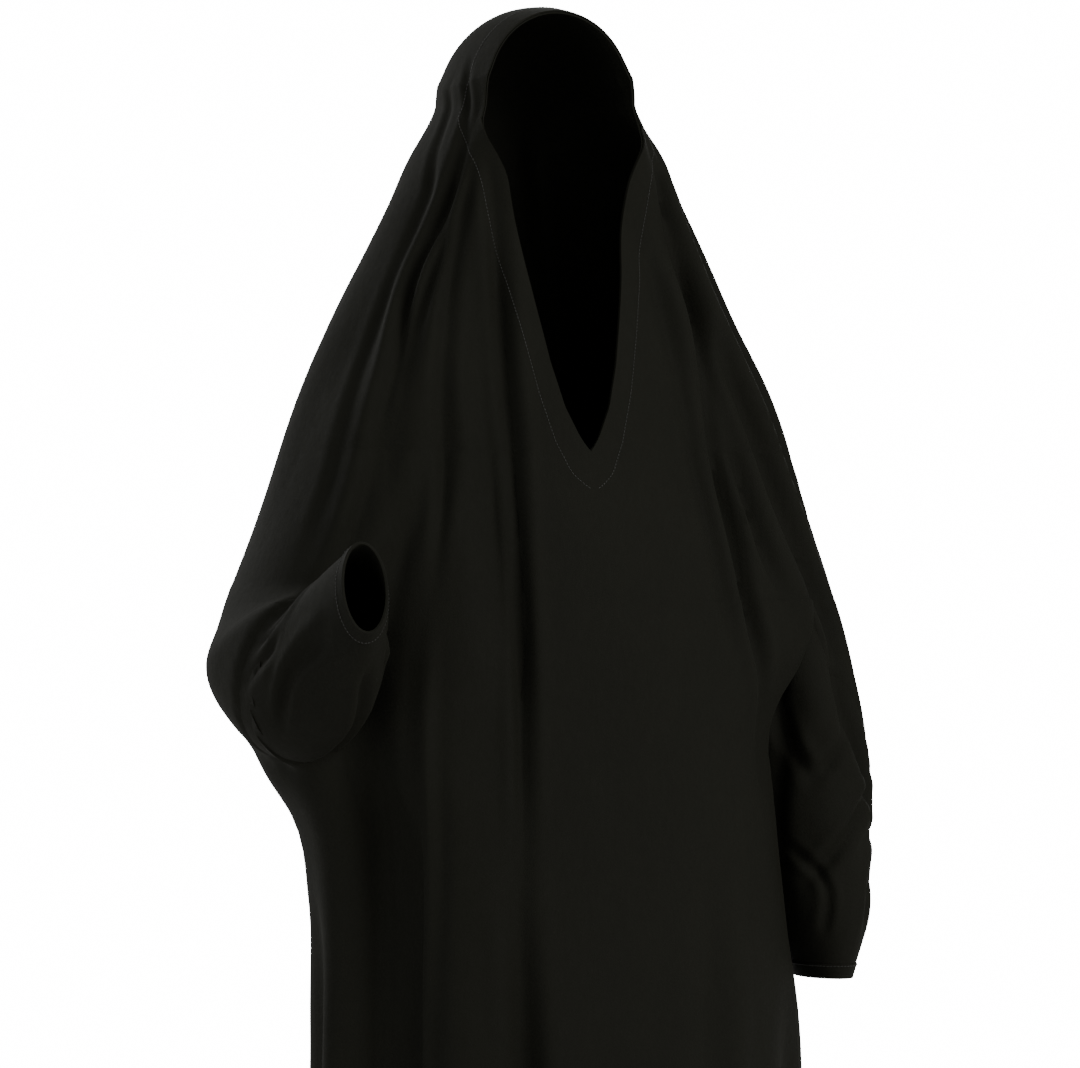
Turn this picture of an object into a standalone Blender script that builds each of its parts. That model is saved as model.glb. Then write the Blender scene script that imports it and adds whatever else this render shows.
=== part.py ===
"""Overhead abaya, modelled as it hangs when worn: one long cloak with its hood,
an inside facing round the face opening, two sleeves and their turned cuffs.

Metres, +Z up. The origin is the inner crown of the hood, where the garment sits on a
head. The front faces -Y, and the wearer's left arm is at +X. The wearer's left arm hangs,
and the right arm is bent forwards at the elbow.
"""
import math

import bpy
import numpy as np
from mathutils import Matrix, Vector

# Cloth
WALL = 0.002            # cloth of the cloak and the sleeves
FACING_WALL = 0.0015    # cloth of the facing
GAP = 0.0003            # air between pieces sewn to each other

# Whole garment
LENGTH = 1.67           # inner crown to hem
SKIRT_HALF_WIDTH = 0.270
SKIRT_FRONT = 0.185     # hem's reach forwards of the crown
SKIRT_BACK = 0.175      # hem's reach behind the crown

# Hood
HOOD_HALF_WIDTH = 0.088
HOOD_FRONT = 0.150      # depth of the full outline forwards, most of it cut away for the face
HOOD_BACK = 0.112
HOOD_DOME = 0.096       # height of the round crown

# Face opening
RIM_FORWARD = 0.058     # rim's plane, forwards of the crown
TEMPLE_DROP = 0.115     # where the rim turns into the slanting edges of the V
TEMPLE_HALF_WIDTH = 0.0825
V_DROP = 0.442          # crown to the point of the V
FACING_WIDTH = 0.030
FACING_POINT = 0.040    # facing's width at the point of the V

# Arms
LEFT_CUFF_DROP = 0.975
LEFT_REACH = 0.312
RIGHT_ELBOW_DROP = 0.576
RIGHT_REACH = 0.272
RIGHT_FOREARM = 0.115   # crook of the elbow to the cuff
CROOK_RADIUS = 0.014    # inside of the elbow's bend
ARM_HALF_WIDTH = 0.070
ARM_HALF_DEPTH = 0.100
CUFF_HALF_WIDTH = 0.023
CUFF_HALF_DEPTH = 0.043
CUFF_LENGTH = 0.015
RIGHT_CUFF_TILT = 100   # degrees from level: it faces forwards and a little up
SEAM_ALLOWANCE = 0.008  # how far a sleeve reaches into the cloak

CROOK_FORWARD = 0.75    # crook's place forwards, as a share of the arm's half depth
CUFF_RISE = 0.45        # top of the right cuff above the crook, as a share of the half depth
RIGHT_CUFF_OUT = 1.03   # right cuff's place outwards, as a share of the right reach
LEFT_CUFF_FORWARD = 0.40  # left cuff's place forwards, as a share of the arm's half depth

# Seams between the cloak and the sleeves. The left one lies in a slanting plane, and turns
# inwards in a level one. Its places are shares of the left cuff's reach and drop.
LEFT_SEAM_OUT = 1.16
LEFT_SEAM_DROP = 0.758
LEFT_SEAM_NORMAL = (0.84, 0.0, 0.54)
LEFT_SEAM_LEVEL = 0.605
RIGHT_SEAM_NORMAL = (0.0, 0.94, 0.34)

# Shaping
MANTLE_BLEND = 0.35     # how gently the back half widens, as a cosine from the side
FOLD_IN = 0.25          # share of a fold's length over which it deepens
FOLD_OUT = 0.30         # and over which it fades
POINT_TAPER = 0.6       # share by which a margin round the V narrows down to its point
V_BACK = 0.4            # where the V's cut ends behind, as a share of the rim's place
ROW_SPACING = 0.55      # first row's height below the crown, against even rows
AROUND = 56             # faces round the cloak
AROUND_ARM = 22
CLOAK_ROWS = 27         # rows below the round crown
DOME_ROWS = 5
SMOOTH_ANGLE = 35       # degrees, past which an edge is drawn sharp
FAR = 0.45              # clear of the hood on every side
PAST = 0.05             # how far a hollow runs past the edge that it opens

CLOTH_COLOUR = (0.012, 0.011, 0.0105, 1.0)
FACING_COLOUR = (0.014, 0.013, 0.0125, 1.0)

# Outline of the cloak: drop is a share of the length below the round crown. The four
# reaches run from the hood's own size at 0 to the skirt's at 1, and mantle, a share of
# the skirt's half width, is how much further the back half reaches over the arms.
CLOAK_SECTIONS = [
    dict(drop=0.000, right=0.00, left=0.00, front=0.00, back=0.00, mantle=0.00),
    dict(drop=0.030, right=0.06, left=0.06, front=-1.10, back=0.06, mantle=0.03),
    dict(drop=0.070, right=0.17, left=0.17, front=-1.90, back=0.14, mantle=0.10),
    dict(drop=0.115, right=0.30, left=0.32, front=-1.50, back=0.24, mantle=0.15),
    dict(drop=0.170, right=0.48, left=0.50, front=-1.10, back=0.36, mantle=0.20),
    dict(drop=0.225, right=0.63, left=0.66, front=-0.75, back=0.46, mantle=0.22),
    dict(drop=0.290, right=0.80, left=0.80, front=-0.15, back=0.56, mantle=0.20),
    dict(drop=0.350, right=0.98, left=0.86, front=0.10, back=0.64, mantle=0.16),
    dict(drop=0.390, right=1.08, left=0.88, front=0.18, back=0.70, mantle=0.08),
    dict(drop=0.420, right=1.03, left=0.90, front=0.22, back=0.74, mantle=0.03),
    dict(drop=0.450, right=0.89, left=0.93, front=0.28, back=0.78, mantle=0.00),
    dict(drop=0.500, right=0.80, left=0.98, front=0.36, back=0.83, mantle=0.00),
    dict(drop=0.580, right=0.78, left=1.07, front=0.50, back=0.88, mantle=0.00),
    dict(drop=0.800, right=0.90, left=1.10, front=0.80, back=0.95, mantle=0.00),
    dict(drop=1.000, right=1.04, left=1.12, front=1.00, back=1.00, mantle=0.00),
]

# Folds of the cloak: where each lies round the outline at its top and at its foot, in
# degrees from the front, positive towards the wearer's left. Drops are shares of the
# length, and width and depth are shares of the skirt's half width.
CLOAK_FOLDS = [
    # name, top, foot, start, end, width, depth
    dict(name="facing_right", top=-44, foot=-17, start=0.14, end=0.44, width=0.08, depth=0.065),
    dict(name="chest_right", top=-64, foot=-52, start=0.12, end=0.40, width=0.07, depth=0.035),
    dict(name="chest_left", top=62, foot=56, start=0.10, end=0.50, width=0.08, depth=0.045),
    dict(name="under_forearm", top=-56, foot=-52, start=0.34, end=1.20, width=0.15, depth=0.10),
    dict(name="skirt_front", top=-24, foot=-21, start=0.50, end=1.20, width=0.11, depth=0.065),
    dict(name="skirt_left_front", top=24, foot=22, start=0.62, end=1.20, width=0.13, depth=0.05),
    dict(name="skirt_left_side", top=58, foot=60, start=0.56, end=1.20, width=0.12, depth=0.06),
    dict(name="back_left", top=112, foot=116, start=0.36, end=1.20, width=0.14, depth=0.085),
    dict(name="back_middle_left", top=152, foot=148, start=0.26, end=1.20, width=0.14, depth=0.08),
    dict(name="back_middle_right", top=-158, foot=-166, start=0.30, end=1.20, width=0.13, depth=0.075),
    dict(name="back_right", top=-118, foot=-124, start=0.34, end=1.20, width=0.15, depth=0.09),
]

# Half width of the face opening: drop is a share of the way from the temples to the
# point of the V, and half is a share of the half width at the temples.
FACE_SECTIONS = [
    dict(drop=0.00, half=1.000),
    dict(drop=0.08, half=0.920),
    dict(drop=0.20, half=0.815),
    dict(drop=0.38, half=0.690),
    dict(drop=0.56, half=0.570),
    dict(drop=0.74, half=0.440),
    dict(drop=0.87, half=0.300),
    dict(drop=0.96, half=0.130),
    dict(drop=1.00, half=0.020),
]

# Left arm: drop is a share of the cuff's drop, out of its reach, forward and depth of the
# arm's half depth, and width of its half width.
LEFT_ARM_SECTIONS = [
    dict(drop=0.098, out=0.17, forward=0.00, width=0.40, depth=0.45),
    dict(drop=0.143, out=0.29, forward=-0.05, width=0.57, depth=0.60),
    dict(drop=0.208, out=0.36, forward=-0.10, width=0.71, depth=0.75),
    dict(drop=0.301, out=0.47, forward=-0.15, width=0.89, depth=0.90),
    dict(drop=0.405, out=0.63, forward=-0.20, width=1.00, depth=1.00),
    dict(drop=0.509, out=0.74, forward=-0.20, width=1.00, depth=1.00),
    dict(drop=0.613, out=0.86, forward=-0.20, width=1.00, depth=1.00),
    dict(drop=0.717, out=0.94, forward=-0.10, width=1.00, depth=1.00),
    dict(drop=0.780, out=0.97, forward=0.00, width=0.96, depth=0.92),
    dict(drop=0.873, out=0.99, forward=0.15, width=0.82, depth=0.78),
    dict(drop=0.946, out=1.00, forward=0.30, width=0.62, depth=0.64),
]

# Right upper arm, down to the crook of the elbow.
RIGHT_ARM_SECTIONS = [
    dict(drop=0.180, out=0.16, forward=0.00, width=0.40, depth=0.45),
    dict(drop=0.243, out=0.24, forward=-0.05, width=0.57, depth=0.60),
    dict(drop=0.347, out=0.27, forward=-0.15, width=0.71, depth=0.75),
    dict(drop=0.503, out=0.41, forward=-0.20, width=0.89, depth=0.90),
    dict(drop=0.677, out=0.59, forward=-0.22, width=1.00, depth=1.00),
    dict(drop=0.851, out=0.73, forward=-0.25, width=1.00, depth=1.00),
    dict(drop=0.938, out=0.81, forward=-0.25, width=1.00, depth=1.00),
]

# Right elbow: sections that fan round the crook, each tilted by so many degrees from level.
ELBOW_SECTIONS = [
    dict(tilt=14, out=0.91, width=1.03, depth=1.00),
    dict(tilt=32, out=0.99, width=1.06, depth=0.95),
    dict(tilt=52, out=1.01, width=1.00, depth=0.87),
    dict(tilt=72, out=1.01, width=0.92, depth=0.82),
]

# Right forearm: run is a share of the forearm's length, and rise of the arm's half depth.
FOREARM_SECTIONS = [
    dict(run=0.20, rise=0.10, tilt=86, out=1.00, width=0.80, depth=0.76),
    dict(run=0.55, rise=0.26, tilt=93, out=1.01, width=0.60, depth=0.61),
]


def smooth(stations, values, at):
    """Values on a smooth curve through a table's rows."""
    stations = np.asarray(stations, float)
    values = np.asarray(values, float)
    slopes = np.gradient(values, stations)
    at = np.clip(np.asarray(at, float), stations[0], stations[-1])
    k = np.clip(np.searchsorted(stations, at) - 1, 0, len(stations) - 2)
    span = stations[k + 1] - stations[k]
    t = (at - stations[k]) / span
    rise = t * t * (3 - 2 * t)
    bend = span * (t * (1 - t) ** 2 * slopes[k] - t * t * (1 - t) * slopes[k + 1])
    return values[k] + rise * (values[k + 1] - values[k]) + bend


def column(table, name):
    return [row[name] for row in table]


def eased(low, high, at):
    t = np.clip((at - low) / (high - low), 0.0, 1.0)
    return t * t * (3 - 2 * t)


def fold_depth(bearing, share, radius):
    """How far the folds press in at this bearing, in degrees, and share of the length."""
    total = np.zeros_like(bearing)
    for fold in CLOAK_FOLDS:
        span = fold["end"] - fold["start"]
        along = np.clip((share - fold["start"]) / span, 0.0, 1.0)
        centre = fold["top"] + (fold["foot"] - fold["top"]) * along
        away = np.radians((bearing - centre + 180) % 360 - 180) * radius
        reach = fold["width"] * SKIRT_HALF_WIDTH
        strength = eased(fold["start"], fold["start"] + FOLD_IN * span, share)
        if fold["end"] <= 1.0:
            strength *= 1 - eased(fold["end"] - FOLD_OUT * span, fold["end"], share)
        total += strength * fold["depth"] * SKIRT_HALF_WIDTH * np.exp(-((away / reach) ** 2))
    return total


def cloak_ring(drop, grow):
    """One level outline of the cloak, grown outwards, as points in order round +Z."""
    below = max(0.0, drop - HOOD_DOME) / (LENGTH - HOOD_DOME)

    def reach(name, hood, skirt):
        share = smooth(column(CLOAK_SECTIONS, "drop"), column(CLOAK_SECTIONS, name), below)
        return hood + (skirt - hood) * float(share)

    right = reach("right", HOOD_HALF_WIDTH, SKIRT_HALF_WIDTH)
    left = reach("left", HOOD_HALF_WIDTH, SKIRT_HALF_WIDTH)
    front = reach("front", HOOD_FRONT, SKIRT_FRONT)
    back = reach("back", HOOD_BACK, SKIRT_BACK)
    bearing = np.linspace(-180, 180, AROUND, endpoint=False)
    turn = np.radians(bearing)
    pressed = fold_depth(bearing, drop / LENGTH, 0.5 * (left + right))
    mantle = smooth(column(CLOAK_SECTIONS, "drop"), column(CLOAK_SECTIONS, "mantle"), below)
    behind = eased(-MANTLE_BLEND, MANTLE_BLEND, -np.cos(turn))
    across = np.where(np.sin(turn) > 0, left, right) + behind * mantle * SKIRT_HALF_WIDTH
    ahead = np.where(np.cos(turn) > 0, front, back)
    across += grow - pressed
    ahead += grow - pressed
    return np.stack([across * np.sin(turn), -ahead * np.cos(turn), np.full(AROUND, -drop)], 1)


def arm_ring(centre, half_width, half_depth, tilt, grow):
    """One oval section of an arm. Tilt 0 is level, and 90 stands upright and faces forwards."""
    turn = np.linspace(0, 2 * np.pi, AROUND_ARM, endpoint=False)
    lean = math.radians(tilt)
    across = (half_width + grow) * np.sin(turn)
    deep = -(half_depth + grow) * np.cos(turn)
    offset = np.stack([across, deep * math.cos(lean), -deep * math.sin(lean)], 1)
    return np.asarray(centre) + offset


def lofted(name, rings, crown=None):
    """A closed solid through rings of equal count, stacked downwards, with fans at both ends.
    Every surface is cut into triangles the same way, so one inside another stays clear of it."""
    count = len(rings[0])
    points = [tuple(point) for ring in rings for point in ring]
    faces = []
    for level in range(len(rings) - 1):
        for k in range(count):
            a = level * count + k
            b = level * count + (k + 1) % count
            faces.append((a, a + count, b + count))
            faces.append((a, b + count, b))
    for level, order in ((0, 1), (len(rings) - 1, -1)):
        middle = len(points)
        points.append(tuple(np.mean(rings[level], axis=0)) if level or crown is None else crown)
        for k in range(count):
            edge = (level * count + k, level * count + (k + 1) % count)
            faces.append((middle, *edge[::order]))
    mesh = bpy.data.meshes.new(name)
    mesh.from_pydata(points, [], faces)
    mesh.update()
    mesh.shade_smooth()
    mesh.set_sharp_from_angle(angle=math.radians(SMOOTH_ANGLE))
    return added(name, mesh)


def added(name, mesh):
    thing = bpy.data.objects.new(name, mesh)
    bpy.context.scene.collection.objects.link(thing)
    return thing


def cutter(thing):
    thing.hide_render = True
    thing.display_type = "WIRE"
    return thing


def combine(thing, other, operation):
    change = thing.modifiers.new(other.name, "BOOLEAN")
    change.operation = operation
    change.solver = "EXACT"
    change.object = cutter(other)


def cloak_form(name, grow, past_hem=0.0):
    """The cloak's full form as a solid, its face not yet open."""
    rings = []
    for k in range(1, DOME_ROWS + 1):
        climb = math.radians(90 * k / (DOME_ROWS + 1))
        drop = HOOD_DOME - (HOOD_DOME + grow) * math.cos(climb)
        wide = math.sin(climb)
        ring = cloak_ring(HOOD_DOME, grow)
        ring[:, :2] *= wide
        ring[:, 2] = -drop
        rings.append(ring)
    for k in range(CLOAK_ROWS + 1):
        share = k / CLOAK_ROWS
        drop = HOOD_DOME + (LENGTH - HOOD_DOME) * share * (ROW_SPACING + (1 - ROW_SPACING) * share)
        rings.append(cloak_ring(drop, grow))
    if past_hem:
        last = rings[-1].copy()
        last[:, 2] -= past_hem
        rings.append(last)
    return lofted(name, rings, crown=(0.0, 0.0, grow))


def left_arm_rings(grow, past_cuff=0.0):
    rings = []
    for row in LEFT_ARM_SECTIONS:
        centre = (
            row["out"] * LEFT_REACH,
            -row["forward"] * ARM_HALF_DEPTH,
            -row["drop"] * LEFT_CUFF_DROP,
        )
        rings.append(
            arm_ring(centre, row["width"] * ARM_HALF_WIDTH, row["depth"] * ARM_HALF_DEPTH, 0, grow)
        )
    forward = LEFT_CUFF_FORWARD * ARM_HALF_DEPTH
    for past in (0.0, past_cuff) if past_cuff else (0.0,):
        centre = (LEFT_REACH, -forward, -LEFT_CUFF_DROP - past)
        rings.append(arm_ring(centre, CUFF_HALF_WIDTH, CUFF_HALF_DEPTH, 0, grow))
    return rings


def right_arm_rings(grow, past_cuff=0.0):
    rings = []
    for row in RIGHT_ARM_SECTIONS:
        centre = (
            -row["out"] * RIGHT_REACH,
            -row["forward"] * ARM_HALF_DEPTH,
            -row["drop"] * RIGHT_ELBOW_DROP,
        )
        rings.append(
            arm_ring(centre, row["width"] * ARM_HALF_WIDTH, row["depth"] * ARM_HALF_DEPTH, 0, grow)
        )
    crook = np.array([0.0, -CROOK_FORWARD * ARM_HALF_DEPTH - CROOK_RADIUS, -RIGHT_ELBOW_DROP])
    for row in ELBOW_SECTIONS:
        lean = math.radians(row["tilt"])
        depth = row["depth"] * ARM_HALF_DEPTH
        out = depth + CROOK_RADIUS
        centre = crook + out * np.array([0.0, math.cos(lean), -math.sin(lean)])
        centre[0] = -row["out"] * RIGHT_REACH
        rings.append(arm_ring(centre, row["width"] * ARM_HALF_WIDTH, depth, row["tilt"], grow))
    for row in FOREARM_SECTIONS:
        depth = row["depth"] * ARM_HALF_DEPTH
        top = -RIGHT_ELBOW_DROP + row["rise"] * ARM_HALF_DEPTH
        centre = (-row["out"] * RIGHT_REACH, crook[1] - row["run"] * RIGHT_FOREARM, top - depth)
        rings.append(arm_ring(centre, row["width"] * ARM_HALF_WIDTH, depth, row["tilt"], grow))
    top = -RIGHT_ELBOW_DROP + CUFF_RISE * ARM_HALF_DEPTH
    for past in (0.0, past_cuff) if past_cuff else (0.0,):
        forward = crook[1] - RIGHT_FOREARM - past
        centre = (-RIGHT_CUFF_OUT * RIGHT_REACH, forward, top - CUFF_HALF_DEPTH)
        rings.append(arm_ring(centre, CUFF_HALF_WIDTH, CUFF_HALF_DEPTH, RIGHT_CUFF_TILT, grow))
    return rings


def half_space(name, point, normal):
    """A large block that fills the side of a plane that its normal points to."""
    mesh = bpy.data.meshes.new(name)
    corners = [(x, y, z) for z in (0.0, 1.0) for y in (-0.5, 0.5) for x in (-0.5, 0.5)]
    faces = [(0, 2, 3, 1), (4, 5, 7, 6), (0, 1, 5, 4), (2, 6, 7, 3), (0, 4, 6, 2), (1, 3, 7, 5)]
    mesh.from_pydata(corners, [], faces)
    turn = Vector(normal).to_track_quat("Z", "Y").to_matrix().to_4x4()
    mesh.transform(Matrix.Translation(point) @ turn @ Matrix.Scale(2 * LENGTH, 4))
    return added(name, mesh)


def prism(name, levels):
    """A closed solid through level rectangles, given as drop, half width, front and back."""
    rings = []
    for drop, half, front, back in levels:
        corners = [(-half, back), (-half, front), (half, front), (half, back)]
        rings.append(np.array([(x, y, -drop) for x, y in corners]))
    return lofted(name, rings)


def face_cutters(name, margin, point_margin, setback):
    """What is cut away for the face: all in front of the rim's plane down to the temples,
    and below them a prism whose edges slant in to the point of the V."""
    rim = -RIM_FORWARD + setback
    back = -V_BACK * RIM_FORWARD
    upper = [(drop, FAR, -FAR, rim) for drop in (-HOOD_DOME, TEMPLE_DROP)]
    height = V_DROP + point_margin - TEMPLE_DROP
    lower = [(TEMPLE_DROP - WALL, TEMPLE_HALF_WIDTH + margin, -FAR, back)]
    for row in FACE_SECTIONS:
        half = row["half"] * TEMPLE_HALF_WIDTH + margin * (1 - POINT_TAPER * row["drop"])
        lower.append((TEMPLE_DROP + row["drop"] * height, half, -FAR, back))
    return prism(name + "_upper", upper), prism(name + "_lower", lower)


def cloth_material(name, colour, roughness):
    material = bpy.data.materials.new(name)
    material.use_nodes = True
    shader = material.node_tree.nodes["Principled BSDF"]
    shader.inputs["Base Color"].default_value = colour
    shader.inputs["Roughness"].default_value = roughness
    shader.inputs["Metallic"].default_value = 0.0
    return material


def left_seam():
    """The slanting seam round the left arm, and the level at which it turns inwards."""
    slant = Vector((LEFT_SEAM_OUT * LEFT_REACH, 0.0, -LEFT_SEAM_DROP * LEFT_CUFF_DROP))
    level = Vector((LEFT_REACH, 0.0, -LEFT_SEAM_LEVEL * LEFT_CUFF_DROP))
    return [(slant, Vector(LEFT_SEAM_NORMAL)), (level, Vector((0.0, 0.0, 1.0)))]


def right_seam():
    """The seam that falls from the crook of the right elbow."""
    crook = Vector((-RIGHT_REACH, -CROOK_FORWARD * ARM_HALF_DEPTH, -RIGHT_ELBOW_DROP))
    return [(crook, Vector(RIGHT_SEAM_NORMAL))]


def cloak_side(name, planes, shift, outside):
    """Blocks on the cloak's side of a seam's planes, moved towards the cloak by the shift,
    or with outside the one block on the sleeve's side of all of them."""
    blocks = []
    for k, (point, normal) in enumerate(planes):
        normal = normal.normalized()
        facing = -normal if outside else normal
        blocks.append(half_space(f"{name}_{k}", point + shift * normal, facing))
    if outside:
        for block in blocks[1:]:
            combine(blocks[0], block, "INTERSECT")
        return blocks[:1]
    return blocks


ARMS = {
    "left": dict(rings=left_arm_rings, seam=left_seam, cuff_tilt=0),
    "right": dict(rings=right_arm_rings, seam=right_seam, cuff_tilt=RIGHT_CUFF_TILT),
}


def make_cloak():
    cloak = cloak_form("cloak", WALL)
    for side, arm in ARMS.items():
        wing = lofted(f"wing_{side}", arm["rings"](WALL))
        for block in cloak_side(f"wing_{side}_end", arm["seam"](), 0.0, True):
            combine(wing, block, "DIFFERENCE")
        combine(cloak, wing, "UNION")
    combine(cloak, cloak_form("cloak_hollow", 0.0, PAST), "DIFFERENCE")
    for side, arm in ARMS.items():
        combine(cloak, lofted(f"arm_hollow_{side}", arm["rings"](0.0, PAST)), "DIFFERENCE")
    for piece in face_cutters("face", 0.0, 0.0, 0.0):
        combine(cloak, piece, "DIFFERENCE")
    return cloak


def make_facing():
    facing = cloak_form("face_facing", -GAP)
    combine(facing, cloak_form("facing_hollow", -GAP - FACING_WALL, PAST), "DIFFERENCE")
    keep, keep_v = face_cutters("facing_keep", FACING_WIDTH, FACING_POINT, FACING_WIDTH)
    combine(keep, keep_v, "UNION")
    combine(facing, keep, "INTERSECT")
    for piece in face_cutters("facing_face", 0.0, 0.0, 0.0):
        combine(facing, piece, "DIFFERENCE")
    return facing


def make_sleeve(side):
    arm = ARMS[side]
    sleeve = lofted(f"sleeve_{side}", arm["rings"](-GAP))
    combine(sleeve, lofted(f"sleeve_{side}_hollow", arm["rings"](-GAP - WALL, PAST)), "DIFFERENCE")
    for block in cloak_side(f"sleeve_{side}_end", arm["seam"](), SEAM_ALLOWANCE, False):
        combine(sleeve, block, "DIFFERENCE")
    combine(sleeve, cloak_form(f"sleeve_{side}_body", -SEAM_ALLOWANCE), "DIFFERENCE")
    return sleeve


def make_cuff(side):
    arm = ARMS[side]
    cuff = lofted(f"cuff_{side}", arm["rings"](WALL))
    combine(cuff, lofted(f"cuff_{side}_hollow", arm["rings"](0.0, PAST)), "DIFFERENCE")
    centre = Vector(arm["rings"](0.0)[-1].mean(axis=0))
    lean = math.radians(arm["cuff_tilt"])
    along = Vector((0.0, -math.sin(lean), -math.cos(lean)))
    keep = half_space(f"cuff_{side}_keep", centre - along * CUFF_LENGTH, -along)
    combine(cuff, keep, "DIFFERENCE")
    return cuff


def main():
    for thing in list(bpy.data.objects):
        bpy.data.objects.remove(thing, do_unlink=True)
    cloth = cloth_material("black_crepe", CLOTH_COLOUR, 0.85)
    facing_cloth = cloth_material("facing_crepe", FACING_COLOUR, 0.80)
    pieces = [make_cloak(), make_facing()]
    for side in ARMS:
        pieces += [make_sleeve(side), make_cuff(side)]
    for piece in pieces:
        piece.data.materials.append(facing_cloth if piece.name == "face_facing" else cloth)


main()
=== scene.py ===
"""Overhead abaya: black crepe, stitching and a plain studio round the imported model.

Metres, +Z up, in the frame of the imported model: the origin is the inner crown of the
hood, the front faces -Y and the left sleeve is at +X.
"""

import math

import bpy
import numpy as np
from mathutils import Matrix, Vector


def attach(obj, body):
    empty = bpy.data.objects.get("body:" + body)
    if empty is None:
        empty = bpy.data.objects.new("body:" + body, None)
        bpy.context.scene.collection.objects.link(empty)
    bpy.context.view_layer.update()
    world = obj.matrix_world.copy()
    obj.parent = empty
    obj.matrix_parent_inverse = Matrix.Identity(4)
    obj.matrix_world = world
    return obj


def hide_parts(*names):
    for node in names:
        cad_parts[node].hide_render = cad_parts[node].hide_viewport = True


bl_info = {
    "name": "Overhead Abaya",
    "version": (1, 0, 0),
    "blender": (4, 5, 0),
    "location": "3D View > Sidebar > Abaya",
    "description": "Makes the crepe cloak, facing, sleeves, cuffs, stitching and studio",
    "category": "Object",
}

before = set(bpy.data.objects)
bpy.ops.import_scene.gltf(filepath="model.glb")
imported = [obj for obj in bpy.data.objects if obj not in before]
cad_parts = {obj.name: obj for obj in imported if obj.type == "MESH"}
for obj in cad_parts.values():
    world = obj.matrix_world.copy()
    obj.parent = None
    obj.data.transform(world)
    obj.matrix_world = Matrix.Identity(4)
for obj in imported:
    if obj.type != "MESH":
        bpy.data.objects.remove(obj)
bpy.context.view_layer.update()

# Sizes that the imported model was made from
WALL = 0.002
GAP = 0.0003
LENGTH = 1.67
SKIRT_HALF_WIDTH = 0.270
SKIRT_FRONT = 0.185
SKIRT_BACK = 0.175
HOOD_HALF_WIDTH = 0.088
HOOD_FRONT = 0.150
HOOD_BACK = 0.112
HOOD_DOME = 0.096
RIM_FORWARD = 0.058
TEMPLE_DROP = 0.115
TEMPLE_HALF_WIDTH = 0.0825
V_DROP = 0.442
FACING_WIDTH = 0.030
FACING_POINT = 0.040
POINT_TAPER = 0.6
LEFT_CUFF_DROP = 0.975
LEFT_REACH = 0.312
LEFT_CUFF_FORWARD = 0.40
RIGHT_ELBOW_DROP = 0.576
RIGHT_REACH = 0.272
RIGHT_FOREARM = 0.115
RIGHT_CUFF_OUT = 1.03
RIGHT_CUFF_TILT = 100
CROOK_RADIUS = 0.014
CROOK_FORWARD = 0.75
CUFF_RISE = 0.45
ARM_HALF_WIDTH = 0.070
ARM_HALF_DEPTH = 0.100
CUFF_HALF_WIDTH = 0.023
CUFF_HALF_DEPTH = 0.043
CUFF_LENGTH = 0.015
MANTLE_BLEND = 0.35
LEFT_SEAM_OUT = 1.16
LEFT_SEAM_DROP = 0.758
LEFT_SEAM_NORMAL = (0.84, 0.0, 0.54)
LEFT_SEAM_LEVEL = 0.605
RIGHT_SEAM_NORMAL = (0.0, 0.94, 0.34)

# Drop is a share of the length below the round crown; the reaches run from the hood's
# own size at 0 to the skirt's at 1; mantle is the back half's reach over the arms.
CLOAK_SECTIONS = [
    # drop, right, left, front, back, mantle
    (0.000, 0.00, 0.00, 0.00, 0.00, 0.00),
    (0.030, 0.06, 0.06, -1.10, 0.06, 0.03),
    (0.070, 0.17, 0.17, -1.90, 0.14, 0.10),
    (0.115, 0.30, 0.32, -1.50, 0.24, 0.15),
    (0.170, 0.48, 0.50, -1.10, 0.36, 0.20),
    (0.225, 0.63, 0.66, -0.75, 0.46, 0.22),
    (0.290, 0.80, 0.80, -0.15, 0.56, 0.20),
    (0.350, 0.98, 0.86, 0.10, 0.64, 0.16),
    (0.390, 1.08, 0.88, 0.18, 0.70, 0.08),
    (0.420, 1.03, 0.90, 0.22, 0.74, 0.03),
    (0.450, 0.89, 0.93, 0.28, 0.78, 0.00),
    (0.500, 0.80, 0.98, 0.36, 0.83, 0.00),
    (0.580, 0.78, 1.07, 0.50, 0.88, 0.00),
    (0.800, 0.90, 1.10, 0.80, 0.95, 0.00),
    (1.000, 1.04, 1.12, 1.00, 1.00, 0.00),
]

# Half width of the face opening, as shares of the way down the V and of the temples' width.
FACE_SECTIONS = [
    # drop, half
    (0.00, 1.000),
    (0.08, 0.920),
    (0.20, 0.815),
    (0.38, 0.690),
    (0.56, 0.570),
    (0.74, 0.440),
    (0.87, 0.300),
    (0.96, 0.130),
    (1.00, 0.020),
]

# Arms: drop is a share of the cuff's or the elbow's drop, out of the reach, forward and
# depth of the arm's half depth, and width of its half width.
LEFT_ARM_SECTIONS = [
    # drop, out, forward, width, depth
    (0.098, 0.17, 0.00, 0.40, 0.45),
    (0.143, 0.29, -0.05, 0.57, 0.60),
    (0.208, 0.36, -0.10, 0.71, 0.75),
    (0.301, 0.47, -0.15, 0.89, 0.90),
    (0.405, 0.63, -0.20, 1.00, 1.00),
    (0.509, 0.74, -0.20, 1.00, 1.00),
    (0.613, 0.86, -0.20, 1.00, 1.00),
    (0.717, 0.94, -0.10, 1.00, 1.00),
    (0.780, 0.97, 0.00, 0.96, 0.92),
    (0.873, 0.99, 0.15, 0.82, 0.78),
    (0.946, 1.00, 0.30, 0.62, 0.64),
    (1.000, 1.00, LEFT_CUFF_FORWARD, CUFF_HALF_WIDTH / ARM_HALF_WIDTH, CUFF_HALF_DEPTH / ARM_HALF_DEPTH),
]
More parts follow.
